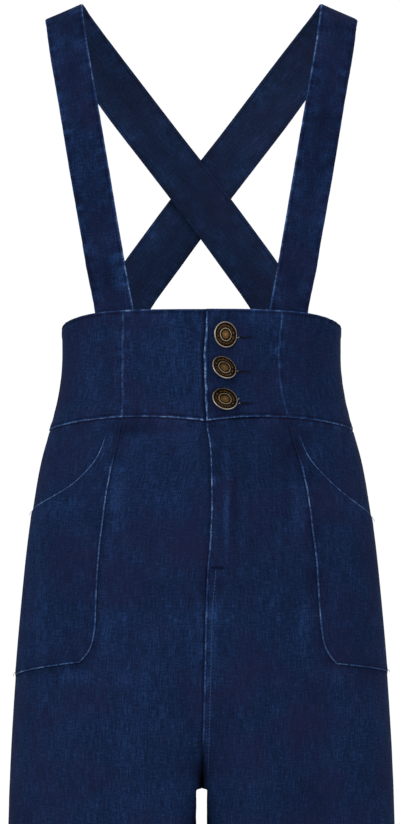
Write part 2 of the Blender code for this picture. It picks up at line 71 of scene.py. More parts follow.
class Edge(Enum):
    """The four edges of a panel's grid of points."""

    START = "start"
    END = "end"
    TOP = "top"
    BOTTOM = "bottom"


# ---------------------------------------------------------------- curves and noise


def smooth(value: np.ndarray) -> np.ndarray:
    """Return an S-curve from 0 to 1, level at both ends."""
    held = np.clip(value, 0.0, 1.0)
    return held * held * (3.0 - 2.0 * held)


def bell(value: np.ndarray) -> np.ndarray:
    """Return a soft hump, 1 at 0 and 0 from 1 outwards."""
    return 1.0 - smooth(np.abs(value))


def read_table(rows: Table, key: np.ndarray) -> np.ndarray:
    """Read a table's columns on a smooth curve through its rows.

    Args:
        rows: The rows, whose first column is the key, in falling or rising order.
        key: The keys to read at.

    Returns:
        The other columns, in one more dimension than key has.
    """
    table = np.asarray(sorted(rows, key=lambda row: row[0]), dtype=float)
    keys = table[:, 0]
    values = table[:, 1:]
    slopes = np.empty_like(values)
    slopes[1:-1] = (values[2:] - values[:-2]) / (keys[2:] - keys[:-2])[:, None]
    slopes[0] = (values[1] - values[0]) / (keys[1] - keys[0])
    slopes[-1] = (values[-1] - values[-2]) / (keys[-1] - keys[-2])
    held = np.clip(np.asarray(key, dtype=float), keys[0], keys[-1])
    low = np.clip(np.searchsorted(keys, held, side="right") - 1, 0, len(keys) - 2)
    span = (keys[low + 1] - keys[low])[..., None]
    t = (held[..., None] - keys[low][..., None]) / span
    start = slopes[low] * span
    end = slopes[low + 1] * span
    step = values[low + 1] - values[low]
    bend = start + end - 2.0 * step
    return values[low] + t * (start + t * (step - start - bend + t * bend))


class Ripple:
    """Smooth random curves and fields, the same at each run."""

    SIZE = 256

    def __init__(self, seed: int) -> None:
        """Draw the knots of the field from a seed."""
        self.knots = np.random.default_rng(seed).uniform(-1.0, 1.0, (self.SIZE, self.SIZE))

    def at(self, u: np.ndarray, v: np.ndarray | float = 0.0) -> np.ndarray:
        """Read the field at places, with knots one apart.

        Args:
            u: Places along the first axis.
            v: Places along the second axis.

        Returns:
            The values, from -1 to 1.
        """
        u, v = np.broadcast_arrays(np.asarray(u, float), np.asarray(v, float))
        i = np.floor(u).astype(int)
        j = np.floor(v).astype(int)
        s = smooth(u - i)
        t = smooth(v - j)
        size = self.SIZE
        low = self.knots[i % size, j % size] * (1 - s) + self.knots[(i + 1) % size, j % size] * s
        j = j + 1
        high = self.knots[i % size, j % size] * (1 - s) + self.knots[(i + 1) % size, j % size] * s
        return low * (1 - t) + high * t


# ---------------------------------------------------------------- the cut and its worn form


@dataclass
class CutForm:
    """The garment's outer face as level sections, in the sizes of its solids."""

    seam_gap: float = 0.01 * MM  # sewn edges meet, so that no light shows between them
    lap_gap: float = 0.3 * MM
    rim: float = -0.2932
    rim_side_drop: float = 0.0085
    rim_round: float = 6.0
    waist_seam: float = -0.398
    seam_lift: float = 0.005
    seam_side_drop: float = 0.003
    fly_bottom: float = -0.533
    fork: float = -0.7365
    hem: float = -1.450
    hem_depth: float = 0.028
    leg_gap: float = 0.0112
    fork_squareness: float = 4.0
    fork_ease: float = 0.045
    valley_free: float = 0.35
    valley_ease: float = 0.20
    crotch_bends: tuple[float, float] = (3.2, 2.4)
    crotch_tops: tuple[float, float] = (-0.600, -0.560)
    crest_top: float = -0.470
    crest_full: float = -0.680
    crest: float = 0.032
    crest_hem: float = 0.060
    inner_flatness: float = 3.2
    inner_flatness_ease: float = 0.8
    crest_spread_top: float = -0.780
    tangent_reach: float = 1.5 * MM
    centre_fade: float = 0.09
    flute_top: float = -0.700
    flute_full: float = -1.250
    near_fork: tuple[float, float] = (-0.760, -0.700)
    at_fork: tuple[float, float] = (-0.001, 0.004)
    top_level: float = -0.280
    shares: int = 320
    inner_points: int = 48
    wall_points: int = 24
    outer_points: int = 120
    # Height, half width, depth of the front, depth of the back, flatness
    sections: Table = (
        (-0.285, 0.1325, 0.0875, 0.0915, 2.50),
        (-0.340, 0.1323, 0.0885, 0.0920, 2.50),
        (-0.370, 0.1362, 0.0915, 0.0930, 2.50),
        (-0.398, 0.1430, 0.0960, 0.0965, 2.50),
        (-0.430, 0.1518, 0.1015, 0.1030, 2.50),
        (-0.470, 0.1588, 0.1070, 0.1120, 2.50),
        (-0.510, 0.1642, 0.1105, 0.1190, 2.48),
        (-0.560, 0.1692, 0.1130, 0.1240, 2.45),
        (-0.620, 0.1743, 0.1135, 0.1240, 2.40),
        (-0.680, 0.1782, 0.1120, 0.1205, 2.35),
        (-0.735, 0.1807, 0.1100, 0.1165, 2.30),
        (-0.800, 0.1822, 0.1080, 0.1125, 2.28),
        (-1.000, 0.1855, 0.1050, 0.1075, 2.22),
        (-1.200, 0.1885, 0.1030, 0.1040, 2.20),
        (-1.450, 0.1920, 0.1010, 0.1015, 2.20),
    )
    # Height, x of the centre-front line
    centre_line: Table = (
        (-0.290, 0.0041),
        (-0.398, 0.0043),
        (-0.420, 0.0075),
        (-0.450, 0.0089),
        (-0.486, 0.0089),
        (-0.517, 0.0072),
        (-0.533, 0.0056),
        (-0.575, 0.0038),
        (-0.640, 0.0025),
        (-0.690, 0.0014),
        (-0.735, 0.0004),
        (-0.780, 0.0),
        (-1.450, 0.0),
    )
    # Side, face, share of the way from inseam to side seam, half span, depth at the hem
    flutes: Table = (
        (1, -1, 0.22, 0.17, 0.0050),
        (1, -1, 0.52, 0.15, -0.0060),
        (1, -1, 0.80, 0.16, 0.0040),
        (-1, -1, 0.25, 0.18, 0.0045),
        (-1, -1, 0.57, 0.16, -0.0055),
        (-1, -1, 0.83, 0.14, 0.0045),
        (1, 1, 0.20, 0.16, 0.0055),
        (1, 1, 0.50, 0.17, -0.0065),
        (1, 1, 0.79, 0.17, 0.0040),
        (-1, 1, 0.18, 0.15, 0.0050),
        (-1, 1, 0.46, 0.16, -0.0060),
        (-1, 1, 0.76, 0.18, 0.0050),
    )
    levels: np.ndarray = field(init=False)
    rounds: dict[Face, np.ndarray] = field(init=False, default_factory=dict)
    totals: dict[Face, np.ndarray] = field(init=False, default_factory=dict)

    def __post_init__(self) -> None:
        """Lay out every level section once, with level rows closest about the fork."""
        low, high = self.near_fork
        start, end = (self.fork + drop for drop in self.at_fork)
        # From, to, step
        stretches = (
            (self.hem - 0.002, low, 0.006),
            (low, start, 0.0004),
            (start, end, 0.00005),
            (end, high, 0.0004),
            (high, self.top_level, 0.002),
        )
        self.levels = np.concatenate([np.arange(*stretch) for stretch in stretches])
        for face in Face:
            laid = [self._section(face, height) for height in self.levels]
            self.rounds[face] = np.array([line for line, _ in laid])
            self.totals[face] = np.array([total for _, total in laid])

    def _section(self, face: Face, height: float) -> tuple[np.ndarray, float]:
        """Return one half section's points at even shares, and its length.

        Args:
            face: The front or the back.
            height: The section's level.

        Returns:
            The points (x, distance from the side line) and the length round.
        """
        half_width, front, back, flatness = read_table(self.sections, height)
        depth = front if face is Face.FRONT else back
        top = self.crotch_tops[0 if face is Face.FRONT else 1]
        bend = self.crotch_bends[0 if face is Face.FRONT else 1]
        start = self._inner_x(height)
        opened = smooth((self.fork - height) / self.fork_ease)
        eased = self.seam_gap / 2 + (self.leg_gap / 2) * opened
        spread = self.crest * smooth((self.crest_top - height) / (self.crest_top - self.crest_full))
        lower = smooth((self.crest_spread_top - height) / (self.crest_spread_top - self.hem))
        crest = max(spread + (self.crest_hem - self.crest) * lower, start)
        width = crest - min(start, eased)
        share = np.clip((top - height) / (top - self.fork), 0.0, 1.0)
        left = (1.0 - share**bend) ** (1.0 / bend)
        inset = min(depth * (1.0 - left), depth - self.seam_gap / 2)
        lines = []
        if width > self.seam_gap:
            t = np.linspace(0.0, 1.0, self.inner_points, endpoint=False)
            if inset < TINY:
                lines.append(np.stack((start + width * t, np.full_like(t, depth)), axis=-1))
            else:
                deep = inset > width
                sweep = math.pi / 2 if deep else 2.0 * math.atan2(inset, width)
                radius = (width * width + inset * inset) / (2.0 * inset)
                reach = (width, inset) if deep else (radius, radius)
                angle = sweep * (1.0 - t)
                flat = smooth((inset / width - 1.0) / self.inner_flatness_ease)
                power = 2.0 / (2.0 + (self.inner_flatness - 2.0) * flat) if deep else 1.0
                x = np.maximum(crest - reach[0] * np.sin(angle) ** power, start)
                held = self._held(inset / depth, height) * depth / inset if deep else 1.0
                y = depth - held * reach[1] * (1.0 - np.clip(np.cos(angle), 0.0, 1.0) ** power)
                if held < 1.0:
                    foot = depth - inset
                    wall = np.linspace(foot, y[0], self.wall_points, endpoint=False)
                    lines.append(np.stack((np.full_like(wall, start), wall), axis=-1))
                lines.append(np.stack((x, y), axis=-1))
        angle = np.linspace(0.0, math.pi / 2, self.outer_points)
        power = 2.0 / flatness
        x = crest + (half_width - crest) * np.sin(angle) ** power
        y = depth * np.clip(np.cos(angle), 0.0, 1.0) ** power
        y[-1] = 0.0
        lines.append(np.stack((x, y), axis=-1))
        line = np.concatenate(lines)
        lengths = np.concatenate(([0.0], np.cumsum(np.linalg.norm(np.diff(line, axis=0), axis=1))))
        even = np.linspace(0.0, lengths[-1], self.shares + 1)
        points = [np.interp(even, lengths, line[:, axis]) for axis in (0, 1)]
        return np.stack(points, axis=-1), float(lengths[-1])

    def _held(self, inset: float, height: float) -> float:
        """Return how deep the valley between the legs shows, as a part of the section's depth.

        Args:
            inset: How deep the crotch seam lies there, as a part of the depth.
            height: The section's level.

        Returns:
            The part. What is left of the inset is a closed seam, or a leg's flat inner side.
        """
        ease = self.valley_ease
        past = max(inset - self.valley_free, 0.0)
        held = min(inset, self.valley_free) + ease * (1.0 - math.exp(-past / ease))
        return held + (inset - held) * float(smooth((self.fork - height) / self.fork_ease))

    def _inner_x(self, height: float) -> float:
        """Return the distance from the middle to a leg's inner end at a height."""
        drop = self.fork - height
        reach = self.leg_gap / 2
        if drop <= 0.0:
            return self.seam_gap / 2
        if drop >= reach:
            return reach
        left = (1.0 - drop / reach) ** self.fork_squareness
        return max(self.seam_gap / 2, reach * (1.0 - left) ** (1.0 / self.fork_squareness))

    def total(self, face: Face, height: np.ndarray) -> np.ndarray:
        """Return the length round a half section at each height."""
        return np.interp(height, self.levels, self.totals[face])

    def base(self, face: Face, share: np.ndarray, height: np.ndarray) -> np.ndarray:
        """Read the level sections.

        Args:
            face: The front or the back.
            share: Shares of the way round the half section.
            height: Heights.

        Returns:
            The points, as x and the distance from the side line.
        """
        row = np.interp(height, self.levels, np.arange(len(self.levels)))
        low = np.clip(row.astype(int), 0, len(self.levels) - 2)
        t = (row - low)[..., None]
        column = np.clip(share, 0.0, 1.0) * self.shares
        left = np.clip(column.astype(int), 0, self.shares - 1)
        s = (column - left)[..., None]
        grid = self.rounds[face]
        lower = grid[low, left] * (1 - s) + grid[low, left + 1] * s
        upper = grid[low + 1, left] * (1 - s) + grid[low + 1, left + 1] * s
        return lower * (1 - t) + upper * t

    def flute(self, side: Side, face: Face, share: np.ndarray, height: np.ndarray) -> np.ndarray:
        """Return how far a leg's cloth stands out in its soft flutes."""
        grown = smooth((self.flute_top - height) / (self.flute_top - self.flute_full))
        total = np.zeros_like(share)
        for own_side, own_face, centre, half_span, depth in self.flutes:
            if own_side == side.value and own_face == face.value:
                total += depth * smooth(1.0 - np.abs(share - centre) / half_span)
        return total * grown

    def point(
        self,
        side: Side,
        face: Face,
        share: np.ndarray,
        height: np.ndarray,
        out: np.ndarray | float = 0.0,
    ) -> np.ndarray:
        """Return points of the outer face, moved out by a distance.

        Args:
            side: The side of the wearer.
            face: The front or the back.
            share: Shares from the middle or inseam, 0, to the side seam, 1. Below 0 is past it.
            height: Heights.
            out: How far out along the level normal.

        Returns:
            The points, with x, y and z last.
        """
        share, height, out = np.broadcast_arrays(
            np.asarray(share, float), np.asarray(height, float), np.asarray(out, float)
        )
        reach = self.tangent_reach / self.total(face, height)
        flat = self.base(face, np.abs(share), height)
        along = self.base(face, np.abs(share) + reach, height)
        along = along - self.base(face, np.abs(share) - reach, height)
        along /= np.linalg.norm(along, axis=-1, keepdims=True)
        moved = out + self.flute(side, face, share, height)
        x = flat[..., 0] - along[..., 1] * moved
        y = flat[..., 1] + along[..., 0] * moved
        across = side.value * np.where(share < 0.0, -1.0, 1.0) * x
        if face is Face.FRONT:
            line = read_table(self.centre_line, height)[..., 0]
            across = across + line * (1.0 - smooth(np.abs(x) / self.centre_fade))
        return np.stack((across, face.value * y, height), axis=-1)

    def share_at(self, face: Face, height: float, x: float) -> float:
        """Find a point of a level section by its x.

        Args:
            face: The front or the back.
            height: The section's level.
            x: The distance from the middle.

        Returns:
            The share of the way round the half section.
        """
        row = np.interp(height, self.levels, np.arange(len(self.levels)))
        low = min(int(row), len(self.levels) - 2)
        grid = self.rounds[face]
        line = grid[low, :, 0] * (1 - row + low) + grid[low + 1, :, 0] * (row - low)
        return float(np.interp(x, line, np.linspace(0.0, 1.0, self.shares + 1)))

    def share_out(self, face: Face, share: np.ndarray) -> np.ndarray:
        """Return how far out shares lie at the waist seam, as a part of the half width."""
        line = self.base(face, np.abs(share), np.full_like(share, self.waist_seam))[..., 0]
        return line / self.base(face, np.array(1.0), np.array(self.waist_seam))[0]

    def seam_height(self, share_out: np.ndarray) -> np.ndarray:
        """Return the waist seam's height, by the part of the half width from the middle."""
        lift = self.seam_lift * (1.0 - (2.0 * share_out - 1.0) ** 2)
        return self.waist_seam + lift - self.seam_side_drop * share_out**2

    def rim_height(self, share_out: np.ndarray) -> np.ndarray:
        """Return the top edge's height, by the part of the half width from the middle."""
        return self.rim - self.rim_side_drop * share_out**self.rim_round


# ---------------------------------------------------------------- sewing and wear


TURNING_EASE = 2.0 * MM
ROLL_REACH = 1.6 * MM
FURROW_HALF = 1.5 * MM
FURROW_DEPTH = 0.14 * MM


@dataclass(frozen=True)
class SeamLook:
    """How the cloth lies and wears along one edge of a panel.

    wear is the strength of the pale line that rubbing leaves on the edge, and spread how wide
    it is, 1 for 1.5 mm. bulk is how far the seam's hidden turnings lift the cloth, over turning
    metres. The thread draws the cloth into puckers, pitch apart, that die out within reach.
    painted_furrow_shade is how dark the shade is painted in the furrow that the row of stitches draws,
    row metres in.
    """

    wear: float = 0.3
    spread: float = 1.0
    roll: float = 0.55 * MM
    bulk: float = 0.35 * MM
    turning: float = 9.0 * MM
    pucker: float = 0.30 * MM
    pitch: float = 8.0 * MM
    reach: float = 13.0 * MM
    mottle: float = 0.6
    painted_furrow_shade: float = 0.0
    row: float = 2.8 * MM


@dataclass
class PanelGrid:
    """A panel's grid of points: shares, heights and distances from its four edges."""

    share: np.ndarray
    height: np.ndarray
    distance: dict[Edge, np.ndarray]
    along: dict[Edge, np.ndarray]
    looks: dict[Edge, SeamLook]
    seed: int

    def relief(self) -> tuple[np.ndarray, np.ndarray, np.ndarray, np.ndarray, np.ndarray]:
        """Work out how the seams shape and wear the panel.

        Returns:
            The lift of both faces, the roll of the outer face at the edges, the fading of the
            dye with the painted shade of the stitch furrows, the strength of the pale edge line, and the
            distance that it is drawn by.
        """
        lift = np.zeros_like(self.share)
        fade = np.zeros_like(self.share)
        wear = np.zeros_like(self.share)
        nearest = np.full_like(self.share, np.inf)
        roll = np.zeros_like(self.share)
        for index, (edge, look) in enumerate(self.looks.items()):
            ripple = Ripple(self.seed * 8 + index)
            distance = self.distance[edge]
            along = self.along[edge]
            lift += look.bulk * smooth((look.turning - distance) / TURNING_EASE)
            wave = ripple.at(along / look.pitch, distance / (3.0 * look.reach))
            wave = wave + 0.5 * ripple.at(along / look.pitch * 2.3 + 31.0, 7.5)
            close = smooth(1.0 - distance / look.reach)
            lift += look.pucker * wave * close
            fade += look.mottle * np.where(wave > 0.0, wave, 0.55 * wave) * close
            furrow = bell((distance - look.row) / FURROW_HALF)
            lift -= FURROW_DEPTH * furrow * (look.painted_furrow_shade > 0.0)
            # painted shade in the furrow that the row of stitches draws
            fade -= look.painted_furrow_shade * furrow
            roll -= look.roll * smooth(1.0 - distance / ROLL_REACH)
            uneven = 1.0 + 0.35 * ripple.at(along / (6.0 * MM), 12.0)
            drawn = distance / (look.spread * uneven)
            wear = np.where(drawn < nearest, look.wear, wear)
            nearest = np.minimum(nearest, drawn)
        return lift, roll, fade, wear, nearest


def arc_lengths(points: np.ndarray, axis: int) -> np.ndarray:
    """Return the distances run along one axis of a grid of points, from its start."""
    steps = np.linalg.norm(np.diff(points, axis=axis), axis=-1)
    lengths = np.cumsum(steps, axis=axis)
    start = np.zeros_like(np.take(lengths, [0], axis=axis))
    return np.concatenate((start, lengths), axis=axis)


def graded(length: float, cell: float, dense: Sequence[float]) -> np.ndarray:
    """Return stations along a length that lie close together near both ends.

    Args:
        length: The whole length.
        cell: The distance between stations away from the ends.
        dense: Distances of the close stations from each end, from 0 up.

    Returns:
        The stations, from 0 to length.
    """
    near = np.asarray(dense)
    count = max(2, round((length - 2.0 * near[-1]) / cell))
    middle = np.linspace(near[-1], length - near[-1], count + 1)[1:-1]
    return np.concatenate((near, middle, length - near[::-1]))


EDGE_STATIONS = tuple(
    value * MM for value in (0.0, 0.35, 0.8, 1.4, 2.1, 2.8, 3.7, 5.0, 7.2, 10.0)
)


@dataclass
class Cloth:
    """One closed shell of cloth, the solid it stands for, and what its finish reads from it."""

    node: str
    outer: np.ndarray
    inner: np.ndarray
    weave: np.ndarray
    fade: np.ndarray
    wear: np.ndarray
    edge_distance: np.ndarray
    reverse: float = 1.0

    @property
    def name(self) -> str:
        """The piece's name."""
        return f"cloth_{self.node}"

    def dress(self, slot: str, finish: bpy.types.Material, held: str, rests_on: str) -> None:
        """Build the piece and dress it.

        Args:
            slot: The record's material slot; not used.
            finish: The material.
            held: How the cloth is held; not used.
            rests_on: The piece that carries it; not used.
        """
        piece = self.build()
        settle(piece, finish, self.node)

    def build(self) -> bpy.types.Object:
        """Build the shell's mesh and link it as an object."""
        rows, columns = self.outer.shape[:2]
        count = rows * columns
        number = np.arange(count).reshape(rows, columns)
        quads = np.stack(
            (number[:-1, :-1], number[:-1, 1:], number[1:, 1:], number[1:, :-1]), axis=-1
        ).reshape(-1, 4)
        border = np.concatenate(
            (number[0, :], number[1:, -1], number[-1, -2::-1], number[-2:0:-1, 0])
        )
        following = np.roll(border, -1)
        sides = np.stack((following, border, border + count, following + count), axis=-1)
        faces = np.concatenate((quads, quads[:, ::-1] + count, sides))
        points = np.concatenate((self.outer.reshape(-1, 3), self.inner.reshape(-1, 3)))
        corner = points[quads[0]]
        normal = np.cross(corner[1] - corner[0], corner[3] - corner[0])
        if np.dot(normal, points[quads[0][0]] - points[quads[0][0] + count]) < 0.0:
            faces = faces[:, ::-1]
        mesh = bpy.data.meshes.new(self.name)
        mesh.from_pydata(points.tolist(), [], faces.tolist())
        both = {
            "fade": np.tile(self.fade.ravel(), 2),
            "wear": np.concatenate((self.wear.ravel(), np.zeros(count))),
            "edge_distance": np.tile(self.edge_distance.ravel(), 2),
            "reverse": np.repeat((0.0, self.reverse), count),
        }
        for key, values in both.items():
            layer = mesh.attributes.new(key, "FLOAT", "POINT")
            layer.data.foreach_set("value", values.astype(np.float32))
        layer = mesh.uv_layers.new(name="WeaveMap")
        corners = np.empty(len(mesh.loops), dtype=np.int32)
        mesh.loops.foreach_get("vertex_index", corners)
        flat = np.tile(self.weave.reshape(-1, 2), (2, 1))
        layer.data.foreach_set("uv", flat[corners].ravel().astype(np.float32))
        mesh.shade_smooth()
        mesh.set_sharp_from_angle(angle=math.radians(60.0))
        return link(self.name, mesh)


def link(name: str, mesh: bpy.types.Mesh) -> bpy.types.Object:
    """Link a mesh to the scene as a named object."""
    thing = bpy.data.objects.new(name, mesh)
    bpy.context.scene.collection.objects.link(thing)
    return thing


def settle(
    piece: bpy.types.Object, finish: bpy.types.Material, node: str | None = None
) -> None:
    """Give a piece its material, body and slot, and let it stand for its node.

    Args:
        piece: The object.
        finish: The material.
        node: The solid that the piece stands for, if any.
    """
    piece.data.materials.append(finish)
    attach(piece, ROOT)
    if node:
        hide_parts(node)
    LOG.info("%s: %d faces", piece.name, len(piece.data.polygons))


@dataclass(frozen=True)
class Stitch:
    """The size of one visible stitch and the distance from one to the next."""

    length: float = 2.3 * MM
    pitch: float = 3.1 * MM
    width: float = 0.62 * MM
    rise: float = 0.34 * MM


class Sewing:
    """A joined mesh of stitches that lie along lines on the cloth."""

    SIDES = 6
    # Place along the stitch, thickness
    RINGS = ((-0.5, 0.25), (-0.34, 0.85), (0.0, 1.0), (0.34, 0.85), (0.5, 0.25))

    def __init__(self, name: str) -> None:
        """Start an empty run of stitches."""
        self.name = name
        self.points: list[np.ndarray] = []
        self.count = 0

    def follow(
        self,
        form: CutForm,
        side: Side,
        face: Face,
        share: np.ndarray,
        height: np.ndarray,
        lift: np.ndarray | float,
    ) -> None:
        """Sew a line on the cut's form.

        Args:
            form: The cut's form.
            side: The side of the wearer.
            face: The front or the back.
            share: Shares of the way round.
            height: Heights.
            lift: How far out the line lies.
        """
        self.run(*outward(lambda out: form.point(side, face, share, height, out + lift)))

    def run(self, line: np.ndarray, normals: np.ndarray) -> None:
        """Sew stitches end to end along a line.

        Args:
            line: Points along the line, on the cloth.
            normals: The cloth's outward direction at each point.
        """
        stitch = Stitch()
        lengths = arc_lengths(line, 0)
        count = int(lengths[-1] / stitch.pitch)
        if count < 1:
            return
        places = (np.arange(count) + 0.5) * lengths[-1] / count
        middle = sample(line, lengths, places)
        ahead = sample(line, lengths, places + stitch.length / 2)
        behind = sample(line, lengths, places - stitch.length / 2)
        along = ahead - behind
        along /= np.linalg.norm(along, axis=-1, keepdims=True)
        up = sample(normals, lengths, places)
        self.lay(middle, along, up, stitch)

    def lay(self, middle: np.ndarray, along: np.ndarray, up: np.ndarray, stitch: Stitch) -> None:
        """Lay one stitch at each place.

        Args:
            middle: The stitches' middles.
            along: The stitches' directions.
            up: The cloth's outward directions.
            stitch: The stitch's size.
        """
        across = np.cross(along, up)
        across /= np.linalg.norm(across, axis=-1, keepdims=True)
        up = np.cross(across, along)
        angle = np.arange(self.SIDES) * 2.0 * math.pi / self.SIDES
        for end, thick in self.RINGS:
            arch = stitch.rise * (1.0 - (2.0 * end) ** 2) * 0.35
            centre = middle + along * (end * stitch.length) + up * (arch - 0.04 * MM)
            side = across[:, None] * np.cos(angle)[None, :, None] * stitch.width / 2
            rise = up[:, None] * np.sin(angle)[None, :, None] * stitch.rise / 2
            self.points.append(centre[:, None] + (side + rise) * thick)
        self.count += len(middle)

    def build(self) -> bpy.types.Object:
        """Join all the stitches into one object."""
        verts: list[np.ndarray] = []
        faces: list[np.ndarray] = []
        start = 0
        sides = self.SIDES
        per_stitch = len(self.RINGS)
        for group in range(0, len(self.points), per_stitch):
            rings = np.stack(self.points[group : group + per_stitch], axis=1)
            number = np.arange(rings.size // 3).reshape(-1, per_stitch, sides) + start
            turned = np.roll(number, -1, axis=2)
            walls = (number[:, :-1], turned[:, :-1], turned[:, 1:], number[:, 1:])
            faces.append(np.stack(walls, axis=-1).reshape(-1, 4))
            for ring, turn in ((0, -1), (-1, 1)):
                cap = number[:, ring, ::turn]
                faces += [cap[:, (0, 1, 2, 3)], cap[:, (0, 3, 4, 5)]]
            verts.append(rings.reshape(-1, 3))
            start += number.size
        mesh = bpy.data.meshes.new(self.name)
        mesh.from_pydata(np.concatenate(verts).tolist(), [], np.concatenate(faces).tolist())
        mesh.shade_smooth()
        return link(self.name, mesh)


def sample(line: np.ndarray, lengths: np.ndarray, places: np.ndarray) -> np.ndarray:
    """Return a polyline's values at distances along it."""
    return np.stack([np.interp(places, lengths, line[:, axis]) for axis in range(3)], axis=-1)


def finder(line: np.ndarray, step: float) -> KDTree:
    """Return a finder of the nearest point of a line.

    Args:
        line: Points along the line.
        step: How far apart the points are that it looks among.

    Returns:
        The finder, which numbers those points from the line's start.
    """
    lengths = arc_lengths(line, 0)
    dense = sample(line, lengths, np.arange(0.0, lengths[-1], step))
    tree = KDTree(len(dense))
    for index, point in enumerate(dense):
        tree.insert(Vector(point), index)
    tree.balance()
    return tree


# ---------------------------------------------------------------- finishes


def linear(colour: str, strength: float = 1.0) -> tuple[float, float, float, float]:
    """Turn an sRGB hex colour to linear RGBA, made lighter or darker by a factor."""
    parts = [int(colour[start : start + 2], 16) / 255.0 for start in (1, 3, 5)]
    turned = [p / 12.92 if p <= 0.04045 else ((p + 0.055) / 1.055) ** 2.4 for p in parts]
    return (*(value * strength for value in turned), 1.0)


def add_node(
    tree: bpy.types.NodeTree,
    kind: str,
    inputs: dict | None = None,
    stops: Sequence[tuple] = (),
    **settings: object,
) -> bpy.types.Node:
    """Add a node with its settings, values and links.

    Args:
        tree: The node tree.
        kind: The node's type, without the words that all of them start with.
        inputs: Values, sockets or nodes for its inputs, by name or number. A node stands for
            its first output.
        stops: The places and colours of a colour ramp, in order.
        settings: The node's own properties.

    Returns:
        The node.
    """
    node = tree.nodes.new(f"ShaderNode{kind}")
    for key, value in settings.items():
        setattr(node, key, value)
    for key, value in (inputs or {}).items():
        if isinstance(value, bpy.types.Node):
            value = value.outputs[0]
        if isinstance(value, bpy.types.NodeSocket):
            tree.links.new(value, node.inputs[key])
        else:
            node.inputs[key].default_value = value
    if stops:
        elements = node.color_ramp.elements
        elements.remove(elements[1])
        elements[0].position, elements[0].color = stops[0]
        for position, colour in stops[1:]:
            elements.new(position).color = colour
    return node


@dataclass(frozen=True)
class Finish:
    """What every finish shares: a name, and a material that ends in its shader."""

    name: str

    def make(self) -> bpy.types.Material:
        """Return the material."""
        material = bpy.data.materials.new(self.name)
        material.use_nodes = True
        tree = material.node_tree
        tree.nodes.clear()
        add_node(tree, "OutputMaterial", {"Surface": self.shader(tree)})
        return material

    def shader(self, tree: bpy.types.NodeTree) -> bpy.types.Node:
        """Add the finish's nodes to a tree and return its shader, in each finish's own way."""
        raise NotImplementedError


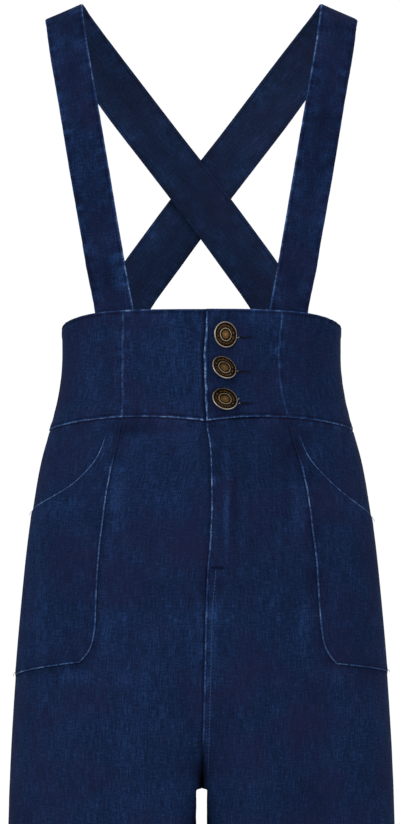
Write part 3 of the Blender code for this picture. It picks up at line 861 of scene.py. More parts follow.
@dataclass(frozen=True)
class Denim(Finish):
    """Indigo denim: warp-faced 3/1 twill, ring dyed, so that rubbed edges and puckers go pale.

    The eye gets a deep flat navy with a fine vertical grain, faint slubs, paler beads along the
    edges, and next to no gloss. The reverse shows the undyed weft and is greyer and paler.
    """

    name: str = "indigo denim"
    deep: str = "#070C1D"
    middle: str = "#0E1C37"
    light: str = "#1B3057"
    rubbed: str = "#3A5276"
    worn: str = "#61789A"
    reverse: str = "#37445C"
    violet: str = "#16162F"
    twill_pitch_mm: float = 1.5  # the real rib is 0.9 mm, drawn coarser so that it shows
    warp_mm: float = 0.9
    slub_mm: float = 14.0
    cloud_mm: float = 38.0
    bead_mm: float = 3.4
    cast_mm: float = 46.0

    def shader(self, tree: bpy.types.NodeTree) -> bpy.types.Node:
        """Lay out the weave, the dye and the wear.

        Args:
            tree: The material's node tree.

        Returns:
            The shader.
        """
        cloth = add_node(tree, "UVMap", uv_map="WeaveMap")
        in_mm = add_node(tree, "VectorMath", {0: cloth, 1: (1000.0,) * 3}, operation="MULTIPLY")
        place = add_node(tree, "TexCoord").outputs["Object"]
        grains = []
        # Size across and along the warp, detail
        for across, along, detail in (
            (self.warp_mm, self.slub_mm, 3.0),
            (self.slub_mm * 0.6, self.warp_mm * 1.2, 2.0),
            (self.warp_mm * 1.6, self.warp_mm * 2.4, 3.0),
        ):
            size = {0: in_mm, 1: (1.0 / across, 1.0 / along, 1.0)}
            spread = add_node(tree, "VectorMath", size, operation="MULTIPLY")
            look = {"Vector": spread, "Scale": 1.0, "Detail": detail, "Roughness": 0.55}
            grains.append(add_node(tree, "TexNoise", look))
        warp, weft, speck = grains
        noises = []
        for size_mm, detail in ((self.cloud_mm, 4.0), (self.bead_mm, 1.0), (self.cast_mm, 3.0)):
            look = {"Vector": place, "Scale": 1000.0 / size_mm, "Detail": detail, "Roughness": 0.5}
            noises.append(add_node(tree, "TexNoise", look))
        clouds, beads, casts = noises
        fade, wear, distance, reverse = (
            add_node(tree, "Attribute", attribute_name=name).outputs["Fac"]
            for name in ("fade", "wear", "edge_distance", "reverse")
        )
        pitch = 2.0 * math.pi / self.twill_pitch_mm
        slant = {0: in_mm, 1: (pitch * 0.80, pitch * 0.60, 0.0)}
        rib = add_node(tree, "VectorMath", slant, operation="DOT_PRODUCT")
        twill = add_node(tree, "Math", {0: rib.outputs["Value"]}, operation="SINE")
        edge = add_node(
            tree,
            "MapRange",
            {"Value": distance, "From Min": 0.6 * MM, "From Max": 1.6 * MM, "To Min": 1.0, "To Max": 0.0},
            interpolation_type="SMOOTHSTEP",
        )
        bead = {"Value": beads, "From Min": 0.30, "From Max": 0.60, "To Min": 0.55, "To Max": 1.0}
        bead = add_node(tree, "MapRange", bead)
        line = add_node(tree, "Math", {0: edge, 1: wear}, operation="MULTIPLY")
        line = add_node(tree, "Math", {0: line, 1: bead}, operation="MULTIPLY")
        tone = add_node(tree, "Math", {0: twill, 1: 0.018, 2: 0.36}, operation="MULTIPLY_ADD")
        for source, weight in ((warp, 0.70), (weft, 0.42), (speck, 0.52), (clouds, 0.16)):
            swing = add_node(tree, "Math", {0: source, 1: 0.5}, operation="SUBTRACT")
            swing = add_node(tree, "Math", {0: swing, 1: weight}, operation="MULTIPLY")
            tone = add_node(tree, "Math", {0: tone, 1: swing}, operation="ADD")
        for source, weight in ((fade, 0.22), (line, 0.62)):
            tone = add_node(tree, "Math", {0: source, 1: weight, 2: tone}, operation="MULTIPLY_ADD")
        tones = (self.deep, self.middle, self.light, self.rubbed, self.worn)
        stops = [(spot, linear(tone)) for spot, tone in zip((0.05, 0.36, 0.62, 0.82, 1.0), tones)]
        colour = add_node(tree, "ValToRGB", {"Fac": tone}, stops).outputs["Color"]
        drift = {"Value": casts, "From Min": 0.42, "From Max": 0.72, "To Max": 0.60}
        # violet cast over the darker marks, which include painted shade
        unrubbed_and_shaded = {"Value": fade, "From Min": 0.1, "From Max": -1.1, "To Max": 0.28}
        drift, unrubbed_and_shaded = (add_node(tree, "MapRange", values) for values in (drift, unrubbed_and_shaded))
        drift = add_node(tree, "Math", {0: drift, 1: unrubbed_and_shaded}, operation="MAXIMUM")
        off_line = add_node(tree, "Math", {0: 1.0, 1: line}, operation="SUBTRACT")
        cast = add_node(tree, "Math", {0: drift, 1: off_line}, operation="MULTIPLY")
        inside = add_node(tree, "Math", {0: reverse, 1: 0.85}, operation="MULTIPLY")
        for share, other in ((cast, self.violet), (inside, self.reverse)):
            mix = {"Factor": share, "A": colour, "B": linear(other)}
            colour = add_node(tree, "Mix", mix, data_type="RGBA").outputs["Result"]
        height = add_node(tree, "Math", {0: warp, 1: 1.2}, operation="MULTIPLY")
        for source, weight in ((twill, 0.35), (weft, 0.6)):
            relief = {0: source, 1: weight, 2: height}
            height = add_node(tree, "Math", relief, operation="MULTIPLY_ADD")
        bump = add_node(tree, "Bump", {"Height": height, "Distance": 0.12 * MM, "Strength": 0.6})
        look = {"Base Color": colour, "Roughness": 0.95, "Specular IOR Level": 0.02, "Normal": bump}
        return add_node(tree, "BsdfPrincipled", look)


@dataclass(frozen=True)
class Thread(Finish):
    """Spun polyester sewing thread in the colour of the cloth, matt with washing."""

    name: str = "navy sewing thread"
    colour: str = "#0A1128"
    twist_mm: float = 0.35

    def shader(self, tree: bpy.types.NodeTree) -> bpy.types.Node:
        """Lay out the thread's twist, lighter and darker round its colour.

        Args:
            tree: The material's node tree.

        Returns:
            The shader.
        """
        place = add_node(tree, "TexCoord").outputs["Object"]
        twist = {"Vector": place, "Scale": 1000.0 / self.twist_mm, "Detail": 1.0}
        twist = add_node(tree, "TexNoise", twist)
        stops = ((0.0, linear(self.colour, 0.6)), (1.0, linear(self.colour, 1.5)))
        bump = add_node(tree, "Bump", {"Height": twist, "Distance": 0.05 * MM, "Strength": 0.5})
        look = {
            "Base Color": add_node(tree, "ValToRGB", {"Fac": twist}, stops),
            "Roughness": 0.85,
            "Specular IOR Level": 0.03,
            "Normal": bump,
        }
        return add_node(tree, "BsdfPrincipled", look)


@dataclass(frozen=True)
class AntiqueBrass(Finish):
    """Stamped brass, blackened and then rubbed, so that the raised rings gleam in dark hollows."""

    name: str = "antique brass"
    bright: str = "#8F8A82"
    brown: str = "#5A4325"
    tarnish: str = "#0E0A07"
    scuff_mm: float = 1.1

    def shader(self, tree: bpy.types.NodeTree) -> bpy.types.Node:
        """Lay out the rubbed heights and the tarnished hollows.

        Args:
            tree: The material's node tree.

        Returns:
            The shader.
        """
        place = add_node(tree, "TexCoord").outputs["Object"]
        raised = add_node(tree, "Attribute", attribute_name="raised").outputs["Fac"]
        scuffs = {"Vector": place, "Scale": 1000.0 / self.scuff_mm, "Detail": 4.0}
        scuffs = {0: add_node(tree, "TexNoise", scuffs), 1: 0.7, 2: -0.35}
        scuffs = add_node(tree, "Math", scuffs, operation="MULTIPLY_ADD")
        rubbed = add_node(tree, "Math", {0: raised, 1: scuffs}, operation="ADD")
        tones = zip((0.12, 0.55, 0.95), (self.tarnish, self.brown, self.bright))
        stops = [(spot, linear(tone)) for spot, tone in tones]
        rough = add_node(tree, "MapRange", {"Value": rubbed, "To Min": 0.62, "To Max": 0.34})
        colour = add_node(tree, "ValToRGB", {"Fac": rubbed}, stops)
        look = {"Base Color": colour, "Metallic": 1.0, "Roughness": rough}
        return add_node(tree, "BsdfPrincipled", look)


@dataclass(frozen=True)
class StudioFloor(Finish):
    """Matt pale paint with a faint unevenness."""

    name: str = "matt pale floor"
    colour: str = "#D9D7D3"
    paler: str = "#DEDCD8"

    def shader(self, tree: bpy.types.NodeTree) -> bpy.types.Node:
        """Lay out the paint's two tones.

        Args:
            tree: The material's node tree.

        Returns:
            The shader.
        """
        noise = add_node(tree, "TexNoise", {"Scale": 3.0, "Detail": 3.0})
        tones = {"Factor": noise, "A": linear(self.colour), "B": linear(self.paler)}
        tint = add_node(tree, "Mix", tones, data_type="RGBA").outputs["Result"]
        look = {"Base Color": tint, "Roughness": 0.9, "Specular IOR Level": 0.2}
        return add_node(tree, "BsdfPrincipled", look)


# ---------------------------------------------------------------- wear, painted shade and creases


@dataclass(frozen=True)
class WearAndShadeMap:
    """Where rubbing has paled the cloth and where it is darker on each face, with painted shade over the
    wearer's left half, along the crotch seam and in the buttonholes' slits.
    """

    painted_side_shade: float = 0.22  # painted shade over the wearer's left half, which lies away from the key light
    # x, height, half width, half height, amount
    front: Table = (
        (0.0228, -0.455, 0.0030, 0.050, 0.55),
        (0.0232, -0.492, 0.0034, 0.030, 0.75),
        (0.0300, -0.490, 0.0050, 0.060, -0.75),
        (0.0165, -0.470, 0.0030, 0.050, -0.45),
        (0.0120, -0.420, 0.0200, 0.020, -0.45),
        (0.0090, -0.548, 0.0140, 0.016, -0.70),
        (0.0110, -0.575, 0.0050, 0.030, 0.80),
        (0.0120, -0.620, 0.0060, 0.030, 0.45),
        (-0.0030, -0.600, 0.0045, 0.080, 0.30),
        (-0.0815, -0.470, 0.0085, 0.030, 0.85),
        (-0.0860, -0.520, 0.0080, 0.018, 0.45),
        (-0.0890, -0.582, 0.0075, 0.034, 0.65),
        (-0.1150, -0.634, 0.0220, 0.008, 0.60),
        (-0.1320, -0.476, 0.0250, 0.014, 0.45),
        (-0.0750, -0.415, 0.0180, 0.012, 0.45),
        (-0.0640, -0.404, 0.0200, 0.008, -1.30),
        (-0.0720, -0.414, 0.0080, 0.014, -0.70),
        (0.0905, -0.476, 0.0085, 0.034, 0.90),
        (0.0940, -0.590, 0.0080, 0.030, 0.70),
        (0.0980, -0.540, 0.0080, 0.016, -0.40),
        (0.1180, -0.630, 0.0260, 0.010, 0.55),
        (0.1350, -0.474, 0.0220, 0.014, 0.40),
        (0.0820, -0.420, 0.0180, 0.022, -0.65),
        (0.1020, -0.428, 0.0120, 0.016, 0.50),
        # painted shade either side of the crotch seam above the fork
        (-0.0180, -0.660, 0.0120, 0.100, -0.25),
        (0.0180, -0.700, 0.0120, 0.120, -0.25),
        (0.0600, -0.640, 0.0300, 0.140, 0.12),
        (-0.0600, -0.640, 0.0300, 0.140, 0.12),
        (-0.0850, -0.388, 0.0300, 0.012, 0.35),
        (-0.0700, -0.390, 0.0150, 0.008, -1.10),
        (0.0790, -0.391, 0.0200, 0.007, -0.60),
        # painted shade in the strip of the crotch seam just above the fork
        (0.0018, -0.725, 0.0045, 0.018, -1.10),
        (0.0140, -0.5405, 0.0030, 0.003, 0.90),
        # painted shade in the three buttonholes' slits
        (0.0430, -0.3202, 0.0072, 0.0014, -1.50),
        (0.0415, -0.3523, 0.0072, 0.0014, -1.50),
        (0.0430, -0.3820, 0.0072, 0.0014, -1.50),
        (0.0660, -0.306, 0.0160, 0.010, 0.40),
        (0.0480, -0.302, 0.0120, 0.008, 0.45),
        (-0.0330, -0.303, 0.0120, 0.007, 0.50),
        (0.0000, -0.345, 0.0060, 0.050, 0.35),
        (-0.0580, -0.340, 0.0050, 0.045, -0.30),
    )
    back: Table = (
        (0.0800, -0.545, 0.0500, 0.060, 0.30),
        (-0.0760, -0.552, 0.0500, 0.060, 0.30),
        (0.0050, -0.470, 0.0080, 0.060, 0.45),
        (-0.0060, -0.620, 0.0080, 0.070, -0.40),
        (0.0700, -0.770, 0.0500, 0.012, 0.45),
        (-0.0740, -0.776, 0.0500, 0.012, 0.45),
        (0.0850, -1.020, 0.0500, 0.014, 0.40),
        (-0.0800, -1.045, 0.0500, 0.014, 0.40),
        (0.0900, -0.390, 0.0300, 0.008, -0.60),
        (-0.0500, -0.392, 0.0300, 0.007, -0.55),
        (0.0300, -0.302, 0.0250, 0.008, 0.40),
        (-0.0800, -0.306, 0.0250, 0.010, 0.40),
    )

    def at(self, face: Face, points: np.ndarray) -> np.ndarray:
        """Work out the fading and the painted shade of a face.

        Args:
            face: The front or the back.
            points: Points of the face.

        Returns:
            The fading and the painted shade, above 0 where the cloth is paler.
        """
        rows = self.front if face is Face.FRONT else self.back
        mottle = Ripple(5 if face is Face.FRONT else 6)
        total = np.zeros(points.shape[:-1])
        x = points[..., 0]
        z = points[..., 2]
        grain = 0.70 + 0.45 * mottle.at(x / (3.5 * MM), z / (9.0 * MM))
        for centre, height, half_width, half_height, amount in rows:
            away = np.hypot((x - centre) / half_width, (z - height) / half_height)
            total += amount * bell(away / 1.5) * grain
        streaks = mottle.at(x / (21.0 * MM) + 90.0, z / (170.0 * MM))
        fine = mottle.at(x / (5.0 * MM) + 40.0, z / (40.0 * MM))
        # painted shade over the wearer's left half, mostly lifted beyond 95 mm out
        lit = 1.0 - 0.85 * smooth((x - 0.095) / 0.03)
        painted_side_shade = self.painted_side_shade * smooth((x + 0.01) / 0.07) * lit
        return total + 0.10 * streaks + 0.14 * fine - painted_side_shade


@dataclass(frozen=True)
class Creases:
    """The soft creases of the hanging cloth, placed one by one."""

    # Side, face, distance from the inner edge, height, slope in degrees, half length, half width, depth
    rows: Table = (
        (-1, -1, 0.034, -0.655, -38, 0.030, 0.0060, -0.0007),
        (-1, -1, 0.052, -0.690, -30, 0.040, 0.0080, -0.0009),
        (-1, -1, 0.045, -0.625, -44, 0.026, 0.0055, 0.0005),
        (-1, -1, 0.120, -0.960, 24, 0.060, 0.0150, -0.0032),
        (-1, -1, 0.150, -1.010, 18, 0.055, 0.0130, 0.0028),
        (-1, -1, 0.100, -1.120, -22, 0.060, 0.0160, -0.0032),
        (-1, -1, 0.170, -1.330, 28, 0.045, 0.0140, -0.0036),
        (-1, -1, 0.080, -1.385, -16, 0.050, 0.0120, 0.0030),
        (1, -1, 0.030, -0.648, -42, 0.028, 0.0060, -0.0007),
        (1, -1, 0.055, -0.682, -33, 0.042, 0.0080, -0.0009),
        (1, -1, 0.040, -0.706, -24, 0.034, 0.0070, 0.0006),
        (1, -1, 0.140, -0.940, 20, 0.060, 0.0150, -0.0032),
        (1, -1, 0.115, -1.060, -26, 0.065, 0.0160, 0.0028),
        (1, -1, 0.170, -1.170, 22, 0.055, 0.0150, -0.0030),
        (1, -1, 0.120, -1.350, -24, 0.050, 0.0140, -0.0036),
        (-1, 1, 0.085, -0.768, -12, 0.065, 0.0110, -0.0042),
        (-1, 1, 0.110, -0.795, -6, 0.070, 0.0120, 0.0032),
        (-1, 1, 0.075, -0.830, -16, 0.055, 0.0120, -0.0032),
        (-1, 1, 0.150, -1.000, 12, 0.070, 0.0130, -0.0052),
        (-1, 1, 0.120, -1.040, -8, 0.070, 0.0130, 0.0044),
        (-1, 1, 0.160, -1.085, 16, 0.060, 0.0140, -0.0048),
        (-1, 1, 0.120, -1.370, 18, 0.060, 0.0130, -0.0040),
        (-1, 1, 0.055, -0.640, -40, 0.040, 0.0080, -0.0019),
        (1, 1, 0.080, -0.762, -10, 0.065, 0.0110, -0.0040),
        (1, 1, 0.105, -0.788, -16, 0.060, 0.0120, 0.0032),
        (1, 1, 0.090, -0.822, -4, 0.060, 0.0120, -0.0034),
        (1, 1, 0.130, -0.985, -14, 0.070, 0.0130, -0.0052),
        (1, 1, 0.155, -1.030, 10, 0.070, 0.0140, 0.0042),
        (1, 1, 0.110, -1.070, 18, 0.060, 0.0130, -0.0046),
        (1, 1, 0.150, -1.360, -20, 0.055, 0.0130, -0.0040),
        (1, 1, 0.050, -0.632, -44, 0.038, 0.0080, -0.0019),
    )

    def at(self, side: Side, face: Face, inward: np.ndarray, height: np.ndarray) -> np.ndarray:
        """Return how far the creases move the cloth out.

        Args:
            side: The side of the wearer.
            face: The front or the back.
            inward: Distances round the cloth from the middle or inseam.
            height: Heights.

        Returns:
            The lift, negative in a trough.
        """
        total = np.zeros(np.broadcast(inward, height).shape)
        for index, (own_side, own_face, u, z, slope, half, width, depth) in enumerate(self.rows):
            if own_side != side.value or own_face != face.value:
                continue
            turn = math.radians(-slope)
            du = inward - u
            dz = height - z
            run = du * math.cos(turn) + dz * math.sin(turn)
            off = dz * math.cos(turn) - du * math.sin(turn)
            wander = Ripple(60 + index).at(run / (24.0 * MM)) * 0.35 * width
            total += depth * bell(run / half) * np.exp(-(((off - wander) / width) ** 2))
        return total


# ---------------------------------------------------------------- the garment's sub-assemblies


def panel_cloth(
    node: str,
    grid: PanelGrid,
    place: Callable[[np.ndarray], np.ndarray],
    lift: np.ndarray,
    wall: np.ndarray | float,
    fade: np.ndarray,
    wear_share: np.ndarray | float = 1.0,
    roll_share: np.ndarray | float = 1.0,
    reverse: float = 1.0,
) -> Cloth:
    """fade: The fading, with painted shade, besides its seams.
        wall: The cloth's thickness.
        fade: The fading besides its seams.
        wear_share: A factor on the edges' pale line.
        roll_share: A factor on the edges' roll.
        reverse: How much of the reverse's paler weft the inner face shows.

    Returns:
        The cloth, not yet built.
    """
    seams, roll, seam_fade_and_shade, wear, nearest = grid.relief()
    out = lift + seams
    return Cloth(
        node=node,
        outer=place(out + roll * roll_share),
        inner=place(out - wall),
        weave=np.stack((-grid.distance[Edge.END], grid.height), axis=-1),
        fade=fade + seam_fade_and_shade,
        wear=wear * wear_share,
        edge_distance=nearest,
        reverse=reverse,
    )


def measured_grid(
    share: np.ndarray,
    height: np.ndarray,
    points: np.ndarray,
    looks: dict[Edge, SeamLook],
    seed: int,
    top_first: bool,
) -> PanelGrid:
    """Measure a panel's distances from its four edges.

    Args:
        share: The points' shares.
        height: The points' heights.
        points: The panel's plain points.
        looks: The look of each edge.
        seed: The seed of its puckers.
        top_first: Whether the first row is the top one.

    Returns:
        The grid.
    """
    across = arc_lengths(points, 1)
    along = arc_lengths(points, 0)
    first, last = (Edge.TOP, Edge.BOTTOM) if top_first else (Edge.BOTTOM, Edge.TOP)
    distance = {
        Edge.START: across,
        Edge.END: across[:, -1:] - across,
        first: along,
        last: along[-1:] - along,
    }
    runs = {Edge.START: along, Edge.END: along + 0.7, first: across + 1.4, last: across + 2.1}
    return PanelGrid(share, height, distance, runs, looks, seed)


def graded_rows(lengths: np.ndarray, cell: float) -> np.ndarray:
    """Grade every row of a panel in the same number of stations.

    Args:
        lengths: The rows' lengths.
        cell: The distance between stations away from the ends.

    Returns:
        The stations of each row, close together near both ends.
    """
    near = np.asarray(EDGE_STATIONS)
    count = max(3, round((float(lengths.max()) - 2.0 * near[-1]) / cell))
    middle = np.linspace(0.0, 1.0, count + 1)[1:-1]
    room = lengths[:, None] - 2.0 * near[-1]
    left = np.broadcast_to(near, (len(lengths), len(near)))
    right = lengths[:, None] - near[::-1]
    return np.concatenate((left, near[-1] + room * middle, right), axis=1)


def outward(place: Callable[[float], np.ndarray]) -> tuple[np.ndarray, np.ndarray]:
    """Return a line's points and the cloth's outward directions there."""
    line = place(0.0)
    normals = place(MM) - line
    return line, normals / np.linalg.norm(normals, axis=-1, keepdims=True)


@dataclass
class WaistPanel:
    """The deep waist panel: two fronts, two sides and the back, double cloth throughout."""

    form: CutForm
    wear_and_shade_map: WearAndShadeMap
    wall: float = 2.4 * MM
    button_stand: float = 0.036
    lap_flat: float = 0.038
    lap_ease: float = 0.028
    cell: float = 2.2 * MM
    rim_stitch: float = 2.6 * MM
    seam_stitch: float = 3.0 * MM
    edge_stitch: float = 2.6 * MM
    shaping_stitch: float = 1.8 * MM
    # Height, distance of the right shaping seam from the middle, distance of the left one
    shaping: Table = (
        (-0.290, 0.0730, 0.0750),
        (-0.333, 0.0735, 0.0718),
        (-0.370, 0.0737, 0.0740),
        (-0.400, 0.0740, 0.0815),
    )
    # x, strength of the pale line along the rim and of that along the waist seam
    rubbing: Table = (
        (-0.180, 0.30, 0.60),
        (-0.112, 0.30, 0.80),
        (-0.100, 0.85, 0.90),
        (-0.045, 0.60, 0.80),
        (-0.030, 0.28, 1.00),
        (0.030, 0.28, 1.00),
        (0.045, 0.75, 0.90),
        (0.070, 0.80, 0.80),
        (0.100, 0.90, 0.50),
        (0.112, 0.30, 0.80),
        (0.180, 0.30, 0.80),
    )
    # The strip of shadow beside the lapped edge: place, reach, strength
    shadow: tuple[float, float, float] = (0.9 * MM, 2.4 * MM, 1.8)
    wobble: float = 0.45 * MM
    wobble_pitch: float = 8.0 * MM
    bow: float = 1.7 * MM
    bow_height: float = -0.345
    bow_reach: float = 0.045
    rubbed_band: float = 2.5 * MM
    rim_look: SeamLook = SeamLook(
        wear=0.66,
        bulk=0.45 * MM,
        turning=11.0 * MM,
        pucker=0.42 * MM,
        pitch=4.6 * MM,
        reach=10.0 * MM,
        mottle=0.9,
        painted_furrow_shade=0.55,
    )
    seam_look: SeamLook = SeamLook(wear=0.80, pucker=0.30 * MM, pitch=6.0 * MM, painted_furrow_shade=0.35)
    edge_look: SeamLook = SeamLook(
        wear=0.88, spread=1.6, roll=0.8 * MM, bulk=0.5 * MM, pucker=0.22 * MM, mottle=0.5, painted_furrow_shade=0.25
    )
    shaping_look: SeamLook = SeamLook(
        wear=0.42, roll=0.45 * MM, pucker=0.26 * MM, pitch=5.0 * MM, mottle=0.5
    )

    @property
    def half_round(self) -> float:
        """The length round half the panel at its middle height."""
        form = self.form
        return float(form.total(Face.FRONT, np.array((form.rim + form.waist_seam) / 2)))

    def lap(self, x: np.ndarray) -> np.ndarray:
        """Return how far the left front stands out over the button stand."""
        return (self.wall + self.form.lap_gap) * (1.0 - smooth((x - self.lap_flat) / self.lap_ease))

    def stray(self, heights: np.ndarray) -> np.ndarray:
        """Return how far the lapped edge strays to the left of the middle."""
        bow = self.bow * bell((heights - self.bow_height) / self.bow_reach)
        return self.wobble * Ripple(9).at(heights / self.wobble_pitch) - bow

    def climb_height(self, face: Face, share: np.ndarray, climb: np.ndarray) -> np.ndarray:
        """Return heights on the panel, climb running from its seam, 0, to its rim, 1."""
        out = self.form.share_out(face, share)
        low = self.form.seam_height(out) + self.form.seam_gap / 2
        return low + (self.form.rim_height(out) - low) * climb

    def shaping_shares(self, side: Side, heights: np.ndarray) -> np.ndarray:
        """Return the shaping seam's shares at heights."""
        column = 1 if side is Side.LEFT else 0
        places = read_table(self.shaping, heights)[:, column]
        pairs = zip(heights, places)
        return np.array([self.form.share_at(Face.FRONT, z, x) for z, x in pairs])

    def edges(self, name: str, heights: np.ndarray) -> tuple[np.ndarray, np.ndarray]:
        """Return the start and end shares of one piece of the panel.

        Args:
            name: The solid that the piece stands for.
            heights: Heights.

        Returns:
            The shares at each height.
        """
        gap = self.form.seam_gap / 2 / self.half_round
        level = np.ones_like(heights)
        right = self.shaping_shares(Side.RIGHT, heights)
        left = self.shaping_shares(Side.LEFT, heights)
        side_seam = (1.0 - gap) * level
        return {
            "waist_front_right": (-self.button_stand / self.half_round * level, right - gap),
            "waist_front_left": (gap + self.stray(heights) / self.half_round, left - gap),
            "waist_side_right": (right + gap, side_seam),
            "waist_side_left": (left + gap, side_seam),
            "waist_back": (-side_seam, side_seam),
        }[name]

    def add(
        self,
        name: str,
        side: Side,
        face: Face,
        looks: dict[Edge, SeamLook],
        finish: bpy.types.Material,
        seed: int,
        lapped: bool,
    ) -> None:
        """Build one piece of the panel between two edges.

        Args:
            name: The solid that the piece stands for.
            side: The side of the wearer.
            face: The front or the back.
            looks: The look of each edge.
            finish: The cloth's material.
            seed: The seed of its puckers.
            lapped: Whether it lies over the button stand.
        """
        form = self.form
        rows = graded(form.rim - form.waist_seam, self.cell, EDGE_STATIONS)
        climb = (rows / rows[-1])[:, None]
        start, end = self.edges(name, form.waist_seam + rows)
        stations = graded_rows((end - start) * self.half_round, self.cell)
        share = start[:, None] + stations / self.half_round
        height = self.climb_height(face, share, climb)
        plain = form.point(side, face, share, height)
        grid = measured_grid(share, height, plain, looks, seed, top_first=False)
        lap = self.lap(share * self.half_round) if lapped else np.zeros_like(share)
        rubbing = read_table(self.rubbing, plain[..., 0])
        near_rim = grid.distance[Edge.TOP] < grid.distance[Edge.BOTTOM]
        nearest = np.minimum(grid.distance[Edge.TOP], grid.distance[Edge.BOTTOM])
        across = nearest < self.rubbed_band
        wear_share = np.where(across, np.where(near_rim, rubbing[..., 0], rubbing[..., 1]), 1.0)
        fade = self.wear_and_shade_map.at(face, plain)
        if face is Face.FRONT and side is Side.RIGHT:
            past, reach, strength = self.shadow
            covered = -self.stray(height)
            fade -= strength * bell((share * self.half_round - covered - past) / reach)
        cloth = panel_cloth(
            node=name,
            grid=grid,
            place=lambda out: form.point(side, face, share, height, out),
            lift=lap,
            wall=self.wall,
            fade=fade,
            wear_share=wear_share,
            reverse=0.0,
        )
        cloth.dress("denim", finish, "hung", "cloth_strap_left")

    def build(self, finish: bpy.types.Material) -> None:
        """Build the five pieces.

        Args:
            finish: The cloth's material.
        """
        plain = SeamLook(wear=0.15)
        shaping = self.shaping_look
        # Piece, side, face, look of its start, look of its end, whether it is lapped
        pieces = (
            ("waist_front_right", Side.RIGHT, Face.FRONT, plain, shaping, False),
            ("waist_front_left", Side.LEFT, Face.FRONT, self.edge_look, shaping, True),
            ("waist_side_right", Side.RIGHT, Face.FRONT, shaping, plain, False),
            ("waist_side_left", Side.LEFT, Face.FRONT, shaping, plain, False),
            ("waist_back", Side.LEFT, Face.BACK, plain, plain, False),
        )
        for seed, (name, side, face, start, end, lapped) in enumerate(pieces, start=11):
            looks = {
                Edge.TOP: self.rim_look,
                Edge.BOTTOM: self.seam_look,
                Edge.START: start,
                Edge.END: end,
            }
            self.add(name, side, face, looks, finish, seed, lapped)

    def sew(self, sewing: Sewing) -> None:
        """Topstitch the rim, the waist seam, the front edge and the shaping seams.

        Args:
            sewing: What the stitches join.
        """
        form = self.form
        depth = form.rim - form.waist_seam
        for climb in (1.0 - self.rim_stitch / depth, self.seam_stitch / depth):
            for side, face, start in (
                (Side.RIGHT, Face.FRONT, 0.02),
                (Side.LEFT, Face.FRONT, 0.02),
                (Side.LEFT, Face.BACK, -0.995),
            ):
                share = np.linspace(start, 0.995, 160)
                height = self.climb_height(face, share, np.full_like(share, climb))
                lift = self.rim_look.bulk
                if side is Side.LEFT and face is Face.FRONT:
                    lift = lift + self.lap(share * self.half_round)
                sewing.follow(form, side, face, share, height, lift)
        heights = np.linspace(form.waist_seam + 0.004, form.rim - 0.004, 60)
        edge = np.full_like(heights, self.edge_stitch / self.half_round)
        lift = self.lap(edge * self.half_round) + self.edge_look.bulk
        sewing.follow(form, Side.LEFT, Face.FRONT, edge, heights, lift)
        for side in Side:
            share = self.shaping_shares(side, heights) + self.shaping_stitch / self.half_round
            lift = self.lap(share * self.half_round) if side is Side.LEFT else 0.0
            bulk = self.shaping_look.bulk
            sewing.follow(form, side, Face.FRONT, share, heights, lift + bulk)


